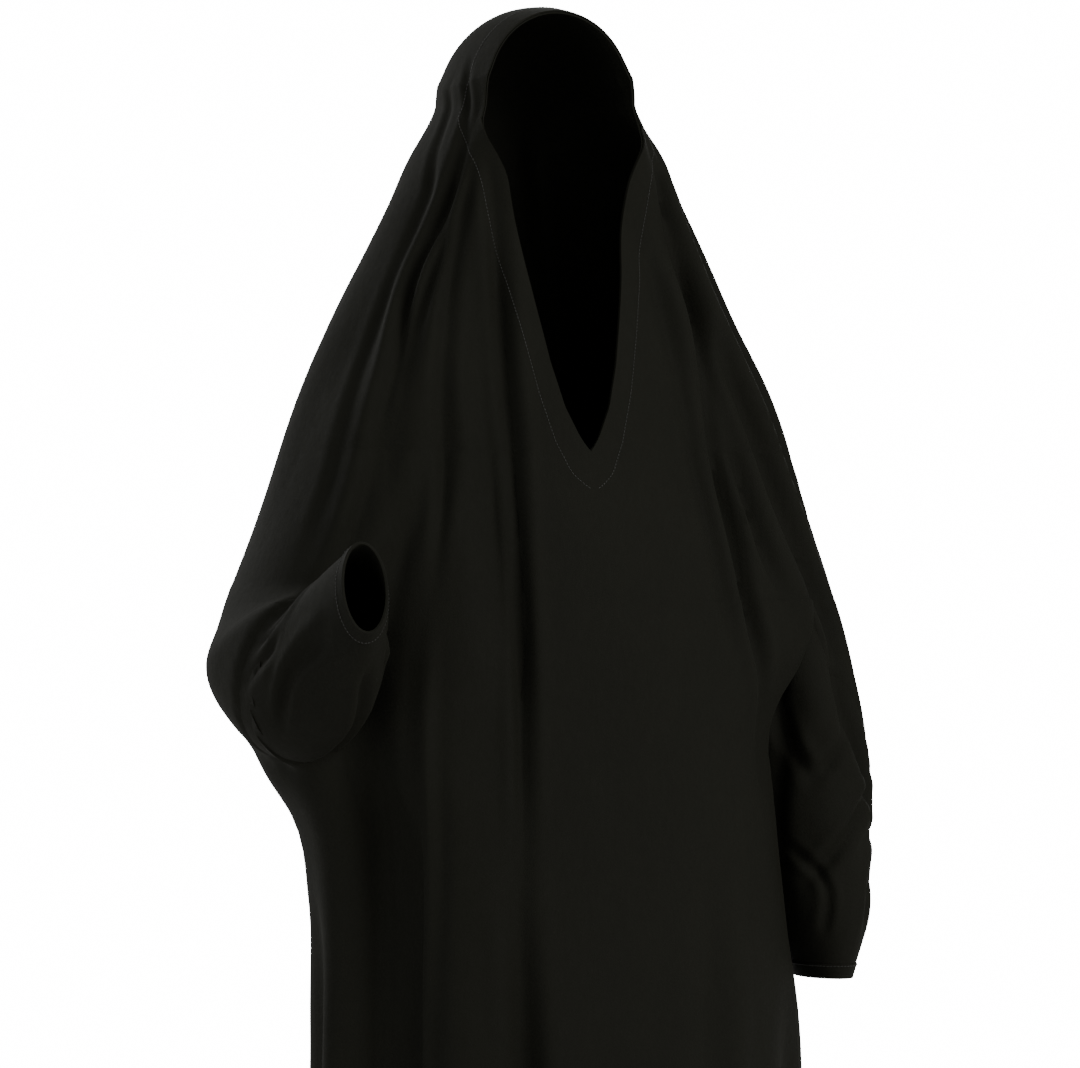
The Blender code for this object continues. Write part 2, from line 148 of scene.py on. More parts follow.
RIGHT_ARM_SECTIONS = [
    # drop, out, forward, width, depth
    (0.180, 0.16, 0.00, 0.40, 0.45),
    (0.243, 0.24, -0.05, 0.57, 0.60),
    (0.347, 0.27, -0.15, 0.71, 0.75),
    (0.503, 0.41, -0.20, 0.89, 0.90),
    (0.677, 0.59, -0.22, 1.00, 1.00),
    (0.851, 0.73, -0.25, 1.00, 1.00),
    (1.000, 0.86, -0.25, 1.00, 1.00),
]
ELBOW_SECTIONS = [
    # tilt, out, width, depth
    (0, 0.86, 1.01, 1.00),
    (14, 0.91, 1.03, 1.00),
    (32, 0.99, 1.06, 0.95),
    (52, 1.01, 1.00, 0.87),
    (72, 1.01, 0.92, 0.82),
]
FOREARM_SECTIONS = [
    # run, rise, tilt, out, width, depth
    (0.20, 0.10, 86, 1.00, 0.80, 0.76),
    (0.55, 0.26, 93, 1.01, 0.60, 0.61),
]

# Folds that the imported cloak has: bearings in degrees from the front, positive towards
# the left sleeve, drops as shares of the length, width and depth of the skirt's half width.
CLOAK_FOLDS = [
    # top, foot, start, end, width, depth
    (-44, -17, 0.14, 0.44, 0.08, 0.065),
    (-64, -52, 0.12, 0.40, 0.07, 0.035),
    (62, 56, 0.10, 0.50, 0.08, 0.045),
    (-56, -52, 0.34, 1.20, 0.15, 0.10),
    (-24, -21, 0.50, 1.20, 0.11, 0.065),
    (24, 22, 0.62, 1.20, 0.13, 0.05),
    (58, 60, 0.56, 1.20, 0.12, 0.06),
    (112, 116, 0.36, 1.20, 0.14, 0.085),
    (152, 148, 0.26, 1.20, 0.14, 0.08),
    (-158, -166, 0.30, 1.20, 0.13, 0.075),
    (-118, -124, 0.34, 1.20, 0.15, 0.09),
]

# Finer folds: the path runs down the cloth through (drop, bearing) points, width and
# depth are in metres, lean steepens one side, and a depth below zero raises a ridge.
CREASES = [
    dict(name="right_wing", on="both", path=((0.10, -60), (0.17, -67), (0.25, -75), (0.37, -71), (0.53, -73), (0.60, -76)),
         width=0.007, depth=0.011, lean=0.5),
    dict(name="right_wing_second", on="both", path=((0.20, -66), (0.30, -68), (0.40, -67), (0.52, -69)),
         width=0.006, depth=0.008, lean=-0.4),
    dict(name="right_wing_third", on="cloak", path=((0.12, -56), (0.22, -61), (0.34, -60), (0.46, -57), (0.58, -56)),
         width=0.006, depth=0.006, lean=0.4),
    dict(name="right_wing_outer", on="both", path=((0.16, -80), (0.28, -82), (0.42, -79), (0.55, -80)),
         width=0.007, depth=0.003, lean=-0.3),
    dict(name="chest_shadow", on="cloak", path=((0.13, -52), (0.20, -47), (0.32, -41), (0.44, -35), (0.59, -31), (0.88, -29)),
         width=0.008, depth=0.010, lean=-0.3),
    dict(name="chest_ridge", on="cloak", path=((0.30, -62), (0.42, -52), (0.52, -44)), width=0.014, depth=-0.004, lean=0.0),
    dict(name="left_neck", on="both", path=((0.11, 56), (0.17, 59), (0.23, 58), (0.30, 60), (0.39, 58), (0.49, 58), (0.59, 59), (0.72, 67)),
         width=0.007, depth=0.012, lean=0.5),
    dict(name="left_neck_second", on="cloak", path=((0.13, 63), (0.25, 62), (0.40, 62), (0.52, 65), (0.62, 70)),
         width=0.006, depth=0.009, lean=-0.4),
    dict(name="left_wing", on="both", path=((0.22, 64), (0.34, 65), (0.44, 69), (0.53, 73), (0.61, 76), (0.70, 75), (0.80, 79), (0.95, 80)),
         width=0.008, depth=0.011, lean=-0.4),
    dict(name="left_wing_second", on="both", path=((0.16, 69), (0.26, 70), (0.39, 73), (0.55, 80)), width=0.006, depth=0.007, lean=0.4),
    dict(name="left_neck_inner", on="cloak", path=((0.20, 50), (0.34, 50), (0.50, 50), (0.66, 52)), width=0.008, depth=0.004, lean=0.3),
    dict(name="left_shoulder", on="cloak", path=((0.14, 74), (0.22, 82), (0.34, 88)), width=0.010, depth=0.003, lean=0.2),
    dict(name="left_arm_outer", on="both", path=((0.34, 84), (0.46, 88), (0.58, 92)), width=0.012, depth=0.003, lean=-0.3),
    dict(name="skirt_shadow", on="cloak", path=((0.58, -70), (0.75, -68), (1.00, -70), (1.30, -69), (1.70, -67)),
         width=0.030, depth=0.020, lean=-0.8),
    dict(name="skirt_edge", on="cloak", path=((0.60, -56), (0.80, -56), (1.00, -58), (1.70, -57)), width=0.007, depth=-0.008, lean=0.6),
    dict(name="skirt_valley", on="cloak", path=((0.78, -34), (0.93, -31), (1.10, -28), (1.70, -27)), width=0.012, depth=0.009, lean=0.4),
    dict(name="skirt_middle", on="cloak", path=((1.00, -4), (1.30, -5), (1.70, -6)), width=0.020, depth=0.006, lean=-0.3),
    dict(name="skirt_left_front", on="cloak", path=((0.80, 40), (1.10, 38), (1.70, 36)), width=0.018, depth=0.006, lean=0.3),
    dict(name="skirt_left_side", on="cloak", path=((0.82, 88), (1.10, 88), (1.70, 90)), width=0.020, depth=0.011, lean=-0.4),
    dict(name="skirt_right_side", on="cloak", path=((0.84, -92), (1.10, -94), (1.70, -95)), width=0.020, depth=0.011, lean=0.4),
    dict(name="nape", on="cloak", path=((0.09, 180), (0.16, 178), (0.30, 176)), width=0.020, depth=0.005, lean=0.2),
    dict(name="nape_left", on="cloak", path=((0.10, 150), (0.20, 146), (0.38, 140)), width=0.016, depth=0.007, lean=0.4),
    dict(name="nape_right", on="cloak", path=((0.10, -148), (0.20, -144), (0.36, -138)), width=0.016, depth=0.007, lean=-0.4),
    dict(name="back_left_upper", on="cloak", path=((0.20, 124), (0.40, 122), (0.70, 128)), width=0.018, depth=0.009, lean=0.3),
    dict(name="back_right_upper", on="cloak", path=((0.20, -122), (0.40, -124), (0.70, -130)), width=0.018, depth=0.009, lean=-0.3),
    dict(name="back_left_lower", on="cloak", path=((0.60, 134), (1.00, 133), (1.70, 132)), width=0.020, depth=0.010, lean=-0.4),
    dict(name="back_middle_lower", on="cloak", path=((0.55, 171), (1.00, 172), (1.70, 170)), width=0.022, depth=0.010, lean=0.3),
    dict(name="back_right_lower", on="cloak", path=((0.60, -140), (1.00, -141), (1.70, -144)), width=0.020, depth=0.010, lean=0.4),
    dict(name="temple_left", on="cloak", path=((0.055, 74), (0.10, 68), (0.16, 64)), width=0.005, depth=0.003, lean=0.3),
    dict(name="temple_left_second", on="cloak", path=((0.07, 92), (0.11, 84), (0.18, 78)), width=0.006, depth=0.0025, lean=0.3),
    dict(name="temple_right", on="cloak", path=((0.060, -74), (0.10, -68), (0.15, -66)), width=0.005, depth=0.003, lean=-0.3),
    dict(name="temple_right_second", on="cloak", path=((0.08, -90), (0.12, -84), (0.19, -80)), width=0.006, depth=0.0025, lean=-0.3),
]

# Creases of the sleeves: the path runs through (along, around) points, around in degrees
# from the front of the arm. Along is the drop in metres on the left sleeve, and on the
# right one a share of the way from its root to its cuff.
SLEEVE_CREASES = {
    "left": [
        dict(path=((0.64, -35), (0.70, -45), (0.77, -30)), width=0.009, depth=0.009),
        dict(path=((0.68, 20), (0.73, 5), (0.78, -30)), width=0.008, depth=0.005),
        dict(path=((0.76, 50), (0.80, 22), (0.84, -8), (0.88, -45)), width=0.008, depth=0.006),
        dict(path=((0.83, -60), (0.88, -25), (0.93, -35)), width=0.006, depth=0.004),
        dict(path=((0.80, 80), (0.87, 40), (0.93, 30)), width=0.007, depth=0.004),
        dict(path=((0.70, 150), (0.80, 170), (0.88, 160)), width=0.010, depth=0.006),
        dict(path=((0.72, -130), (0.84, -140), (0.94, -150)), width=0.009, depth=0.005),
    ],
    "right": [
        dict(path=((0.30, -60), (0.50, -40), (0.62, 0)), width=0.007, depth=0.007),
        dict(path=((0.20, -100), (0.34, -80), (0.50, -75)), width=0.007, depth=0.006),
        dict(path=((0.36, 70), (0.52, 60), (0.70, 90)), width=0.007, depth=0.007),
        dict(path=((0.30, 170), (0.55, 150), (0.80, 160)), width=0.009, depth=0.006),
        dict(path=((0.45, -130), (0.60, -110), (0.85, -120)), width=0.008, depth=0.006),
        dict(path=((0.60, 120), (0.75, 100), (0.95, 110)), width=0.006, depth=0.004),
    ],
}

# Soft ripples of the whole cloth, in metres and waves per metre along X, Y and Z.
RIPPLES = [
    # height, x, y, z, turn
    (0.0006, 31.0, 27.0, 9.0, 0.4),
    (0.0005, -23.0, 36.0, 13.0, 2.1),
    (0.0004, 47.0, -38.0, 21.0, 4.0),
    (0.0003, 58.0, 61.0, -34.0, 1.2),
]

HOOD_ROWS = 28
COLUMNS = 222
SIDE_BEARING = 58       # degrees from the front round which the columns stand closest
SIDE_SPREAD = 32
SIDE_SHARE = 2.2
ARM_COLUMNS = 84
LEFT_LEVEL = LEFT_SEAM_LEVEL * LEFT_CUFF_DROP   # drop at which the left wing turns into its sleeve
WEB = 0.15              # length over which the cloth between arm and body fades below it
REACH_OUT = 0.46        # beyond the cloth on every side
MARCH_STEP = 0.0025
BLEND_TOP = 0.045       # how softly the arms join the body at the shoulders
BLEND_FOOT = 0.018      # and at the sleeves
TUCK = 0.028            # cloak's cloth hidden inside a sleeve's top
SINK = 0.006            # how deep it goes there
HEM_WIDTH = 0.025       # turned hem
TURNED_HEM = 0.0008     # how much the doubled cloth stands out
BRIDGE_SLOPE = 1.25     # steepest fall of the cloth into a gap, as a share of its reach a radian
STRETCH = 0.80          # how far the cloth is drawn straight over the hollows between body and arms


def column(table, k):
    return np.array([row[k] for row in table], float)


def smooth(stations, values, at):
    """Values on a smooth curve through a table's rows."""
    stations = np.asarray(stations, float)
    values = np.asarray(values, float)
    slopes = np.gradient(values, stations)
    at = np.clip(np.asarray(at, float), stations[0], stations[-1])
    k = np.clip(np.searchsorted(stations, at) - 1, 0, len(stations) - 2)
    span = stations[k + 1] - stations[k]
    t = (at - stations[k]) / span
    rise = t * t * (3 - 2 * t)
    bend = span * (t * (1 - t) ** 2 * slopes[k] - t * t * (1 - t) * slopes[k + 1])
    return values[k] + rise * (values[k + 1] - values[k]) + bend


def eased(low, high, at):
    t = np.clip((at - low) / (high - low), 0.0, 1.0)
    return t * t * (3 - 2 * t)


SHARES = np.linspace(0, 1, 2001)
CLOAK_CURVES = [smooth(column(CLOAK_SECTIONS, 0), column(CLOAK_SECTIONS, k), SHARES) for k in range(1, 6)]


def curves_of(table):
    """Fine copies of a table's columns, for quick reading."""
    stations = np.linspace(table[0][0], table[-1][0], 801)
    return stations, [smooth(column(table, 0), column(table, k), stations) for k in range(1, len(table[0]))]


LEFT_CURVES = curves_of(LEFT_ARM_SECTIONS)
RIGHT_CURVES = curves_of(RIGHT_ARM_SECTIONS)
ELBOW_CURVES = curves_of(ELBOW_SECTIONS)


def read(curves, at):
    stations, values = curves
    return [np.interp(at, stations, value) for value in values]


def body_field(x, y, z):
    """Roughly how far a point lies outside the cloak's body, in metres."""
    drop = -z
    below = (drop - HOOD_DOME) / (LENGTH - HOOD_DOME)
    right, left, front, back, mantle = [np.interp(below, SHARES, curve) for curve in CLOAK_CURVES]
    right = HOOD_HALF_WIDTH + (SKIRT_HALF_WIDTH - HOOD_HALF_WIDTH) * right
    left = HOOD_HALF_WIDTH + (SKIRT_HALF_WIDTH - HOOD_HALF_WIDTH) * left
    front = HOOD_FRONT + (SKIRT_FRONT - HOOD_FRONT) * front
    back = HOOD_BACK + (SKIRT_BACK - HOOD_BACK) * back
    side = np.where(x > 0, left, right)
    ahead = np.where(y < 0, front, back)
    across = side
    for _ in range(2):
        turn = np.arctan2(x / across, -y / ahead)
        across = side + eased(-MANTLE_BLEND, MANTLE_BLEND, -np.cos(turn)) * mantle * SKIRT_HALF_WIDTH
    turn = np.arctan2(x / across, -y / ahead)
    climb = np.clip(1 - drop / HOOD_DOME, 0, None)
    out = np.sqrt(x * x + y * y + (climb * HOOD_DOME) ** 2)
    share = np.sqrt((x / across) ** 2 + (y / ahead) ** 2 + climb ** 2)
    pressed = pressed_in(np.degrees(turn), drop / LENGTH, 0.5 * (left + right))
    return out * (1 - 1 / np.maximum(share, 1e-6)) + pressed


def pressed_in(bearing, share, radius):
    total = np.zeros_like(bearing)
    if np.max(share) < 0.10:
        return total
    for top, foot, start, end, width, depth in CLOAK_FOLDS:
        span = end - start
        along = np.clip((share - start) / span, 0.0, 1.0)
        strength = eased(start, start + 0.25 * span, share)
        if end <= 1.0:
            strength = strength * (1 - eased(end - 0.30 * span, end, share))
        if np.max(strength) <= 0:
            continue
        away = np.radians((bearing - top - (foot - top) * along + 180) % 360 - 180) * radius
        total = total + strength * depth * SKIRT_HALF_WIDTH * np.exp(-((away / (width * SKIRT_HALF_WIDTH)) ** 2))
    return total


def oval_field(across, deep, half_width, half_depth):
    share = np.hypot(across / half_width, deep / half_depth)
    return np.hypot(across, deep) * (1 - 1 / np.maximum(share, 1e-6))


def left_arm_field(x, y, z):
    out, forward, width, depth = read(LEFT_CURVES, -z / LEFT_CUFF_DROP)
    field = oval_field(x - out * LEFT_REACH, y + forward * ARM_HALF_DEPTH, width * ARM_HALF_WIDTH, depth * ARM_HALF_DEPTH)
    return np.maximum(field, z + LEFT_ARM_SECTIONS[0][0] * LEFT_CUFF_DROP)


CROOK = np.array([0.0, -CROOK_FORWARD * ARM_HALF_DEPTH - CROOK_RADIUS, -RIGHT_ELBOW_DROP])


def right_arm_field(x, y, z):
    out, forward, width, depth = read(RIGHT_CURVES, -z / RIGHT_ELBOW_DROP)
    upper = oval_field(x + out * RIGHT_REACH, y + forward * ARM_HALF_DEPTH, width * ARM_HALF_WIDTH, depth * ARM_HALF_DEPTH)
    upper = np.maximum(upper, z + RIGHT_ARM_SECTIONS[0][0] * RIGHT_ELBOW_DROP)
    behind = y - CROOK[1]
    below = CROOK[2] - z
    lean = np.degrees(np.arctan2(below, behind))
    out, width, depth = read(ELBOW_CURVES, lean)
    depth = depth * ARM_HALF_DEPTH
    bend = oval_field(x + out * RIGHT_REACH, np.hypot(behind, below) - depth - CROOK_RADIUS, width * ARM_HALF_WIDTH, depth)
    bend = np.where(lean > 105, 0.1, bend)
    return np.where(below > 0, bend, upper)


def slanted(x, z):
    """How far a point lies below the slanting plane of the left seam."""
    nx, _, nz = LEFT_SEAM_NORMAL
    long = math.hypot(nx, nz)
    return -((x - LEFT_SEAM_OUT * LEFT_REACH) * nx + (z + LEFT_SEAM_DROP * LEFT_CUFF_DROP) * nz) / long


def beyond_left_seam(x, y, z):
    """How far a point lies on the sleeve's side of the left seam."""
    return np.minimum(slanted(x, z), -LEFT_LEVEL - z)


def beyond_right_seam(x, y, z):
    _, ny, nz = RIGHT_SEAM_NORMAL
    long = math.hypot(ny, nz)
    return -((y + CROOK_FORWARD * ARM_HALF_DEPTH) * ny + (z + RIGHT_ELBOW_DROP) * nz) / long


def cloak_field(x, y, z, web=0.0):
    """The body and both arms as one form, softly joined, down to the sleeves' seams. The
    web is how far below its end the left wing is still felt."""
    soft = BLEND_FOOT + (BLEND_TOP - BLEND_FOOT) * (1 - eased(0.20, 0.50, -z))
    field = body_field(x, y, z)
    for arm, beyond in ((left_arm_field, beyond_left_seam), (right_arm_field, beyond_right_seam)):
        if arm is left_arm_field:
            wing = np.where(z < -LEFT_LEVEL - web - 1e-5, 1.0, arm(x, y, z))
        else:
            past = beyond(x, y, z)
            wing = np.maximum(arm(x, y, z) + SINK * eased(0.0, 0.010, past), past - TUCK)
        near = np.maximum(soft - np.abs(field - wing), 0) / soft
        field = np.minimum(field, wing) - near * near * soft / 4
    return field


def marched(origins, directions, field, level, far=REACH_OUT):
    """How far along each ray, from far away inwards, the field first falls to a level."""
    reach = np.arange(far, 0.004, -MARCH_STEP)
    points = origins[:, None, :] + reach[None, :, None] * directions[:, None, :]
    values = field(points[..., 0], points[..., 1], points[..., 2]) - level
    inside = values < 0
    first = np.argmax(inside, axis=1)
    first = np.where(inside.any(axis=1), np.maximum(first, 1), len(reach) - 1)
    pick = np.arange(len(origins))
    outer, inner = values[pick, first - 1], values[pick, first]
    share = np.clip(outer / np.where(np.abs(outer - inner) < 1e-9, 1e-9, outer - inner), 0, 1)
    return reach[first - 1] - share * MARCH_STEP


def half_opening(drop):
    """Half width of the face opening at a drop below the crown."""
    share = (drop - TEMPLE_DROP) / (V_DROP - TEMPLE_DROP)
    return TEMPLE_HALF_WIDTH * np.interp(share, column(FACE_SECTIONS, 0), column(FACE_SECTIONS, 1))


def front_point(x, drop, level, field=cloak_field):
    """Points of the front surface at places across it."""
    x = np.atleast_1d(np.asarray(x, float))
    origins = np.stack([x, np.full_like(x, 0.05), np.full_like(x, -drop)], 1)
    ahead = np.tile((0.0, -1.0, 0.0), (len(x), 1))
    reach = marched(origins, ahead, field, level, 0.30)
    return origins + reach[:, None] * ahead


def crease_depth(points, sleeve=False):
    """How deep the finer folds press into the cloth at these points."""
    x, y, z = points[..., 0], points[..., 1], points[..., 2]
    bearing = np.degrees(np.arctan2(x, -y))
    radius = np.hypot(x, y)
    depth = np.zeros_like(x)
    for fold in CREASES:
        if sleeve and fold["on"] == "cloak":
            continue
        drops = [place[0] for place in fold["path"]]
        centre = smooth(drops, [place[1] for place in fold["path"]], -z)
        away = np.radians((bearing - centre + 180) % 360 - 180) * radius / fold["width"]
        span = drops[-1] - drops[0]
        ends = eased(drops[0] - 0.02, drops[0] + 0.22 * span, -z)
        if drops[-1] < LENGTH:
            ends = ends * (1 - eased(drops[-1] - 0.22 * span, drops[-1] + 0.02, -z))
        shape = np.exp(-(away ** 2)) * (1 + fold["lean"] * np.tanh(away))
        banks = 0.35 * np.exp(-((np.abs(away) - 1.9) ** 2))
        depth = depth + ends * fold["depth"] * (shape - banks)
    depth = depth - TURNED_HEM * eased(LENGTH - HEM_WIDTH - 0.002, LENGTH - HEM_WIDTH + 0.002, -z)
    calm = eased(0.02, 0.09, -z)
    for height, kx, ky, kz, turn in RIPPLES:
        depth = depth + calm * height * np.sin(kx * x + ky * y + kz * z + turn)
    return depth


def crumpled(points, normals):
    """Points of the cloak's cloth with the finer folds pressed in along their normals."""
    return points - crease_depth(points)[..., None] * normals


def grid_normals(points, closed=False):
    """Outward normals of a grid of points, rows downwards and columns round +Z."""
    down = np.gradient(points, axis=0)
    if closed:
        round_ = (np.roll(points, -1, axis=1) - np.roll(points, 1, axis=1)) / 2
    else:
        round_ = np.gradient(points, axis=1)
    normals = np.cross(down, round_)
    return normals / np.maximum(np.linalg.norm(normals, axis=2, keepdims=True), 1e-12)


def blurred(values, sigma, axis, wrap=False):
    """Values smoothed by a bell of this width, in cells, along one axis."""
    wide = int(math.ceil(3 * sigma))
    bell = np.exp(-0.5 * (np.arange(-wide, wide + 1) / sigma) ** 2)
    bell /= bell.sum()
    pads = [(0, 0), (0, 0)]
    pads[axis] = (wide, wide)
    padded = np.pad(values, pads, mode="wrap" if wrap else "edge")
    total = np.zeros_like(values)
    for k, weight in enumerate(bell):
        total += weight * np.take(padded, np.arange(k, k + values.shape[axis]), axis=axis)
    return total


def blurred_down(values, turns, sigma):
    """The same values blurred from row to row, always at one direction."""
    common = np.linspace(-0.5 * np.pi, 1.5 * np.pi, 541)
    table = np.array([np.interp(common, turn, row) for turn, row in zip(turns, values)])
    table = blurred(table, sigma, 0)
    return np.array([np.interp(turn, common, row) for turn, row in zip(turns, table)])


def bridged(turn, reach, closed):
    """Cloth stretched over the narrow gaps of one row: its reach never falls away faster
    than a set slope."""
    if closed:
        turn = np.concatenate([turn[:-1] - 2 * np.pi, turn, turn[1:] + 2 * np.pi])
        reach = np.concatenate([reach[:-1], reach, reach[1:]])
    drop = BRIDGE_SLOPE * np.abs(turn[:, None] - turn[None, :])
    spread = np.max(reach[None, :] * np.maximum(1 - drop, 0), axis=1)
    return spread[len(spread) // 3:len(spread) // 3 + (len(spread) + 2) // 3] if closed else spread


def hulled(turn, reach):
    """Reach of the straight lines drawn over every hollow of one row."""
    x, y = reach * np.cos(turn), reach * np.sin(turn)
    kept = []
    for k in range(len(turn)):
        while len(kept) > 1:
            a, b = kept[-2], kept[-1]
            if (x[b] - x[a]) * (y[k] - y[a]) - (y[b] - y[a]) * (x[k] - x[a]) > 0:
                break
            kept.pop()
        kept.append(k)
    kept = np.array(kept)
    after = np.clip(np.searchsorted(kept, np.arange(len(turn)), side="right"), 1, len(kept) - 1)
    a, b = kept[after - 1], kept[after]
    lower = reach[a] * np.sin(turn - turn[a]) + reach[b] * np.sin(turn[b] - turn)
    straight = reach[a] * reach[b] * np.sin(turn[b] - turn[a]) / np.maximum(lower, 1e-6)
    return np.maximum(np.where(turn[b] - turn[a] < 2.6, straight, reach), reach)


def row_middle(drop):
    """How far forwards the rays of a level row start from."""
    return -RIM_FORWARD * (1 - float(eased(TEMPLE_DROP, 0.36, drop)))


def edge_turn(drop, side, level):
    """Direction of the opening's edge from the middle of a level row, from the side at 0
    to straight ahead at minus a quarter turn. It leaves the rim smoothly at the temple."""
    if drop >= V_DROP:
        return -0.5 * math.pi
    point = front_point([side * float(half_opening(drop))], drop, level)[0]
    turn = math.atan2(point[1] - row_middle(drop), abs(point[0]))
    left = 1 - min(max((drop - TEMPLE_DROP) / 0.065, 0.0), 1.0)
    return turn * (1 - left * left)


def side_heavy(share):
    """Places round a row that stand closer together where the finer folds lie."""
    bearing = np.linspace(0, 360, 721)
    away = np.minimum(bearing, 360 - bearing)
    weight = 1 + SIDE_SHARE * np.exp(-(((away - SIDE_BEARING) / SIDE_SPREAD) ** 2))
    run = np.concatenate([[0.0], np.cumsum(weight[1:] + weight[:-1])])
    return np.interp(share * run[-1], run, bearing / 360)


def webbed_field(x, y, z):
    return cloak_field(x, y, z, WEB)


def level_row(drop, turn, level):
    rays = np.stack([np.cos(turn), np.sin(turn), np.zeros_like(turn)], 1)
    origins = np.tile((0.0, row_middle(drop), -drop), (len(turn), 1))
    return origins, rays, marched(origins, rays, cloak_field, level)


def from_edge(drop, side, level, runs):
    """Points of a level row at these distances along the cloth from the opening's edge."""
    turn = edge_turn(drop, side, level) + np.linspace(0, 0.9, 60)
    if side < 0:
        turn = np.pi - turn
    origins, rays, reach = level_row(drop, turn, level)
    row = origins + reach[:, None] * rays
    run = np.concatenate([[0.0], np.cumsum(np.linalg.norm(np.diff(row, axis=0), axis=1))])
    return np.stack([np.interp(runs, run, row[:, k]) for k in range(3)], 1)


def facing_run(drop):
    """Width of the facing beside the opening at a drop below the crown."""
    foot = V_DROP + FACING_POINT
    share = (drop - TEMPLE_DROP) / (foot - TEMPLE_DROP)
    half = TEMPLE_HALF_WIDTH * np.interp(share, column(FACE_SECTIONS, 0), column(FACE_SECTIONS, 1))
    inner = float(half_opening(drop)) if drop < V_DROP else 0.0
    past = min(max((drop - foot + 0.022) / 0.022, 0), 1)
    return (float(half) + FACING_WIDTH * (1 - POINT_TAPER * share) - inner) * math.sqrt(1 - past * past)


def cloak_rows():
    """The cloak's outer surface as rows of points, from the rim over the crown and down
    to the hem. Rows fan out from the temples over the hood and lie level below them."""
    rows = []
    turn = np.linspace(0, np.pi, COLUMNS + 1)
    pivot = np.array([0.0, -RIM_FORWARD, -TEMPLE_DROP])
    for k in range(HOOD_ROWS + 1):
        tilt = 0.5 * np.pi * k / HOOD_ROWS
        rays = np.stack([np.cos(turn), np.sin(turn) * math.sin(tilt), np.sin(turn) * math.cos(tilt)], 1)
        origins = np.tile(pivot, (len(turn), 1))
        reach = marched(origins, rays, cloak_field, WALL)
        rows.append(origins + reach[:, None] * rays)
    drops = np.concatenate([
        np.linspace(TEMPLE_DROP, LEFT_LEVEL, 82),
        np.linspace(LEFT_LEVEL + 0.0004, 0.80, 36),
        np.linspace(0.817, LENGTH - HEM_WIDTH, 45),
        np.linspace(LENGTH - HEM_WIDTH + 0.003, LENGTH, 4),
    ])
    found = []
    turns = []
    free = []       # the cloth beside the opening's edge keeps to the form
    for drop in drops[1:]:
        starts = [edge_turn(drop, side, WALL) for side in (1, -1)]
        even = np.linspace(0, 1, COLUMNS + 1)
        places = even + float(eased(TEMPLE_DROP, TEMPLE_DROP + 0.08, drop)) * (side_heavy(even) - even)
        turn = starts[0] + (np.pi - starts[1] - starts[0]) * places
        turns.append(turn)
        origins, rays, reach = level_row(drop, turn, WALL)
        felt = reach
        if LEFT_LEVEL < drop < LEFT_LEVEL + WEB:
            felt = marched(origins, rays, webbed_field, WALL)
        spread = bridged(turn, felt, drop >= V_DROP)
        straight = np.where(rays[:, 0] > 0, 1.0, 1 - eased(0.40, 0.54, drop)) * eased(TEMPLE_DROP, 0.19, drop)
        straight = straight * (1 - eased(0.3, 0.9, rays[:, 1])) * eased(-0.97, -0.80, rays[:, 1])
        free.append(eased(0.30, 0.65, np.minimum(turn - turn[0], turn[-1] - turn)))
        spread = spread + STRETCH * straight * np.maximum(hulled(turn, felt) - spread, 0)
        spread = reach + (spread - reach) * eased(TEMPLE_DROP, 0.16, drop) * free[-1]
        x, y, z = (origins + spread[:, None] * rays).T
        fade = np.where(x > 0, eased(LEFT_LEVEL, LEFT_LEVEL + WEB, drop), eased(-0.035, -0.004, beyond_right_seam(x, y, z)))
        found.append((origins, rays, reach, reach + (spread - reach) * (1 - fade), (felt > reach + 0.004) & (spread < felt + 0.002)))
    reach = np.array([row[2] for row in found])
    spread = np.array([row[3] for row in found])
    changed = np.clip((spread - reach) / 0.002, 0, 1)
    # the wing ends at a level, so there the cloth above and below it is smoothed apart
    above = int(np.sum(drops[1:] <= LEFT_LEVEL))
    winged = np.array([row[4] & (row[1][:, 0] > 0) for row in found[above:]]).any(axis=0)
    winged = np.clip(3 * blurred(np.tile(winged.astype(float), (2, 1)), 3.0, 1)[:1], 0, 1)
    sides, alike = blurred(spread, 2.0, 1), blurred(changed, 2.5, 1)
    soft, share = blurred_down(sides, turns, 3.0), blurred_down(alike, turns, 3.0)
    for part in (slice(0, above), slice(above, None)):
        soft[part] += winged * (blurred_down(sides[part], turns[part], 3.0) - soft[part])
        share[part] += winged * (blurred_down(alike[part], turns[part], 3.0) - share[part])
    spread += np.clip(2.5 * share, 0, 1) * (soft - spread) * eased(TEMPLE_DROP, 0.17, drops[1:])[:, None] * np.array(free)
    hits = np.zeros((len(rows) + len(found), COLUMNS + 1), bool)
    for k, ((origins, rays, _, _, hit), reach, drop) in enumerate(zip(found, spread, drops[1:])):
        x, y, z = (origins + reach[:, None] * rays).T
        hits[len(hits) - len(found) + k] = (x > 0) & (drop > LEFT_LEVEL) & hit & (left_arm_field(x, y, z) < 0.004)
    either = hits[1:, :-1] & hits[1:, 1:]
    SURFACE["covered"] = either & (hits[:-1, :-1] & hits[:-1, 1:] | ~hits[:-1].any(axis=1, keepdims=True))
    for (origins, rays, _, _, _), reach, drop in zip(found, spread, drops[1:]):
        row = origins + reach[:, None] * rays
        if drop >= V_DROP:
            row[0] = row[-1] = 0.5 * (row[0] + row[-1])
        rows.append(row)
    return np.array(rows)


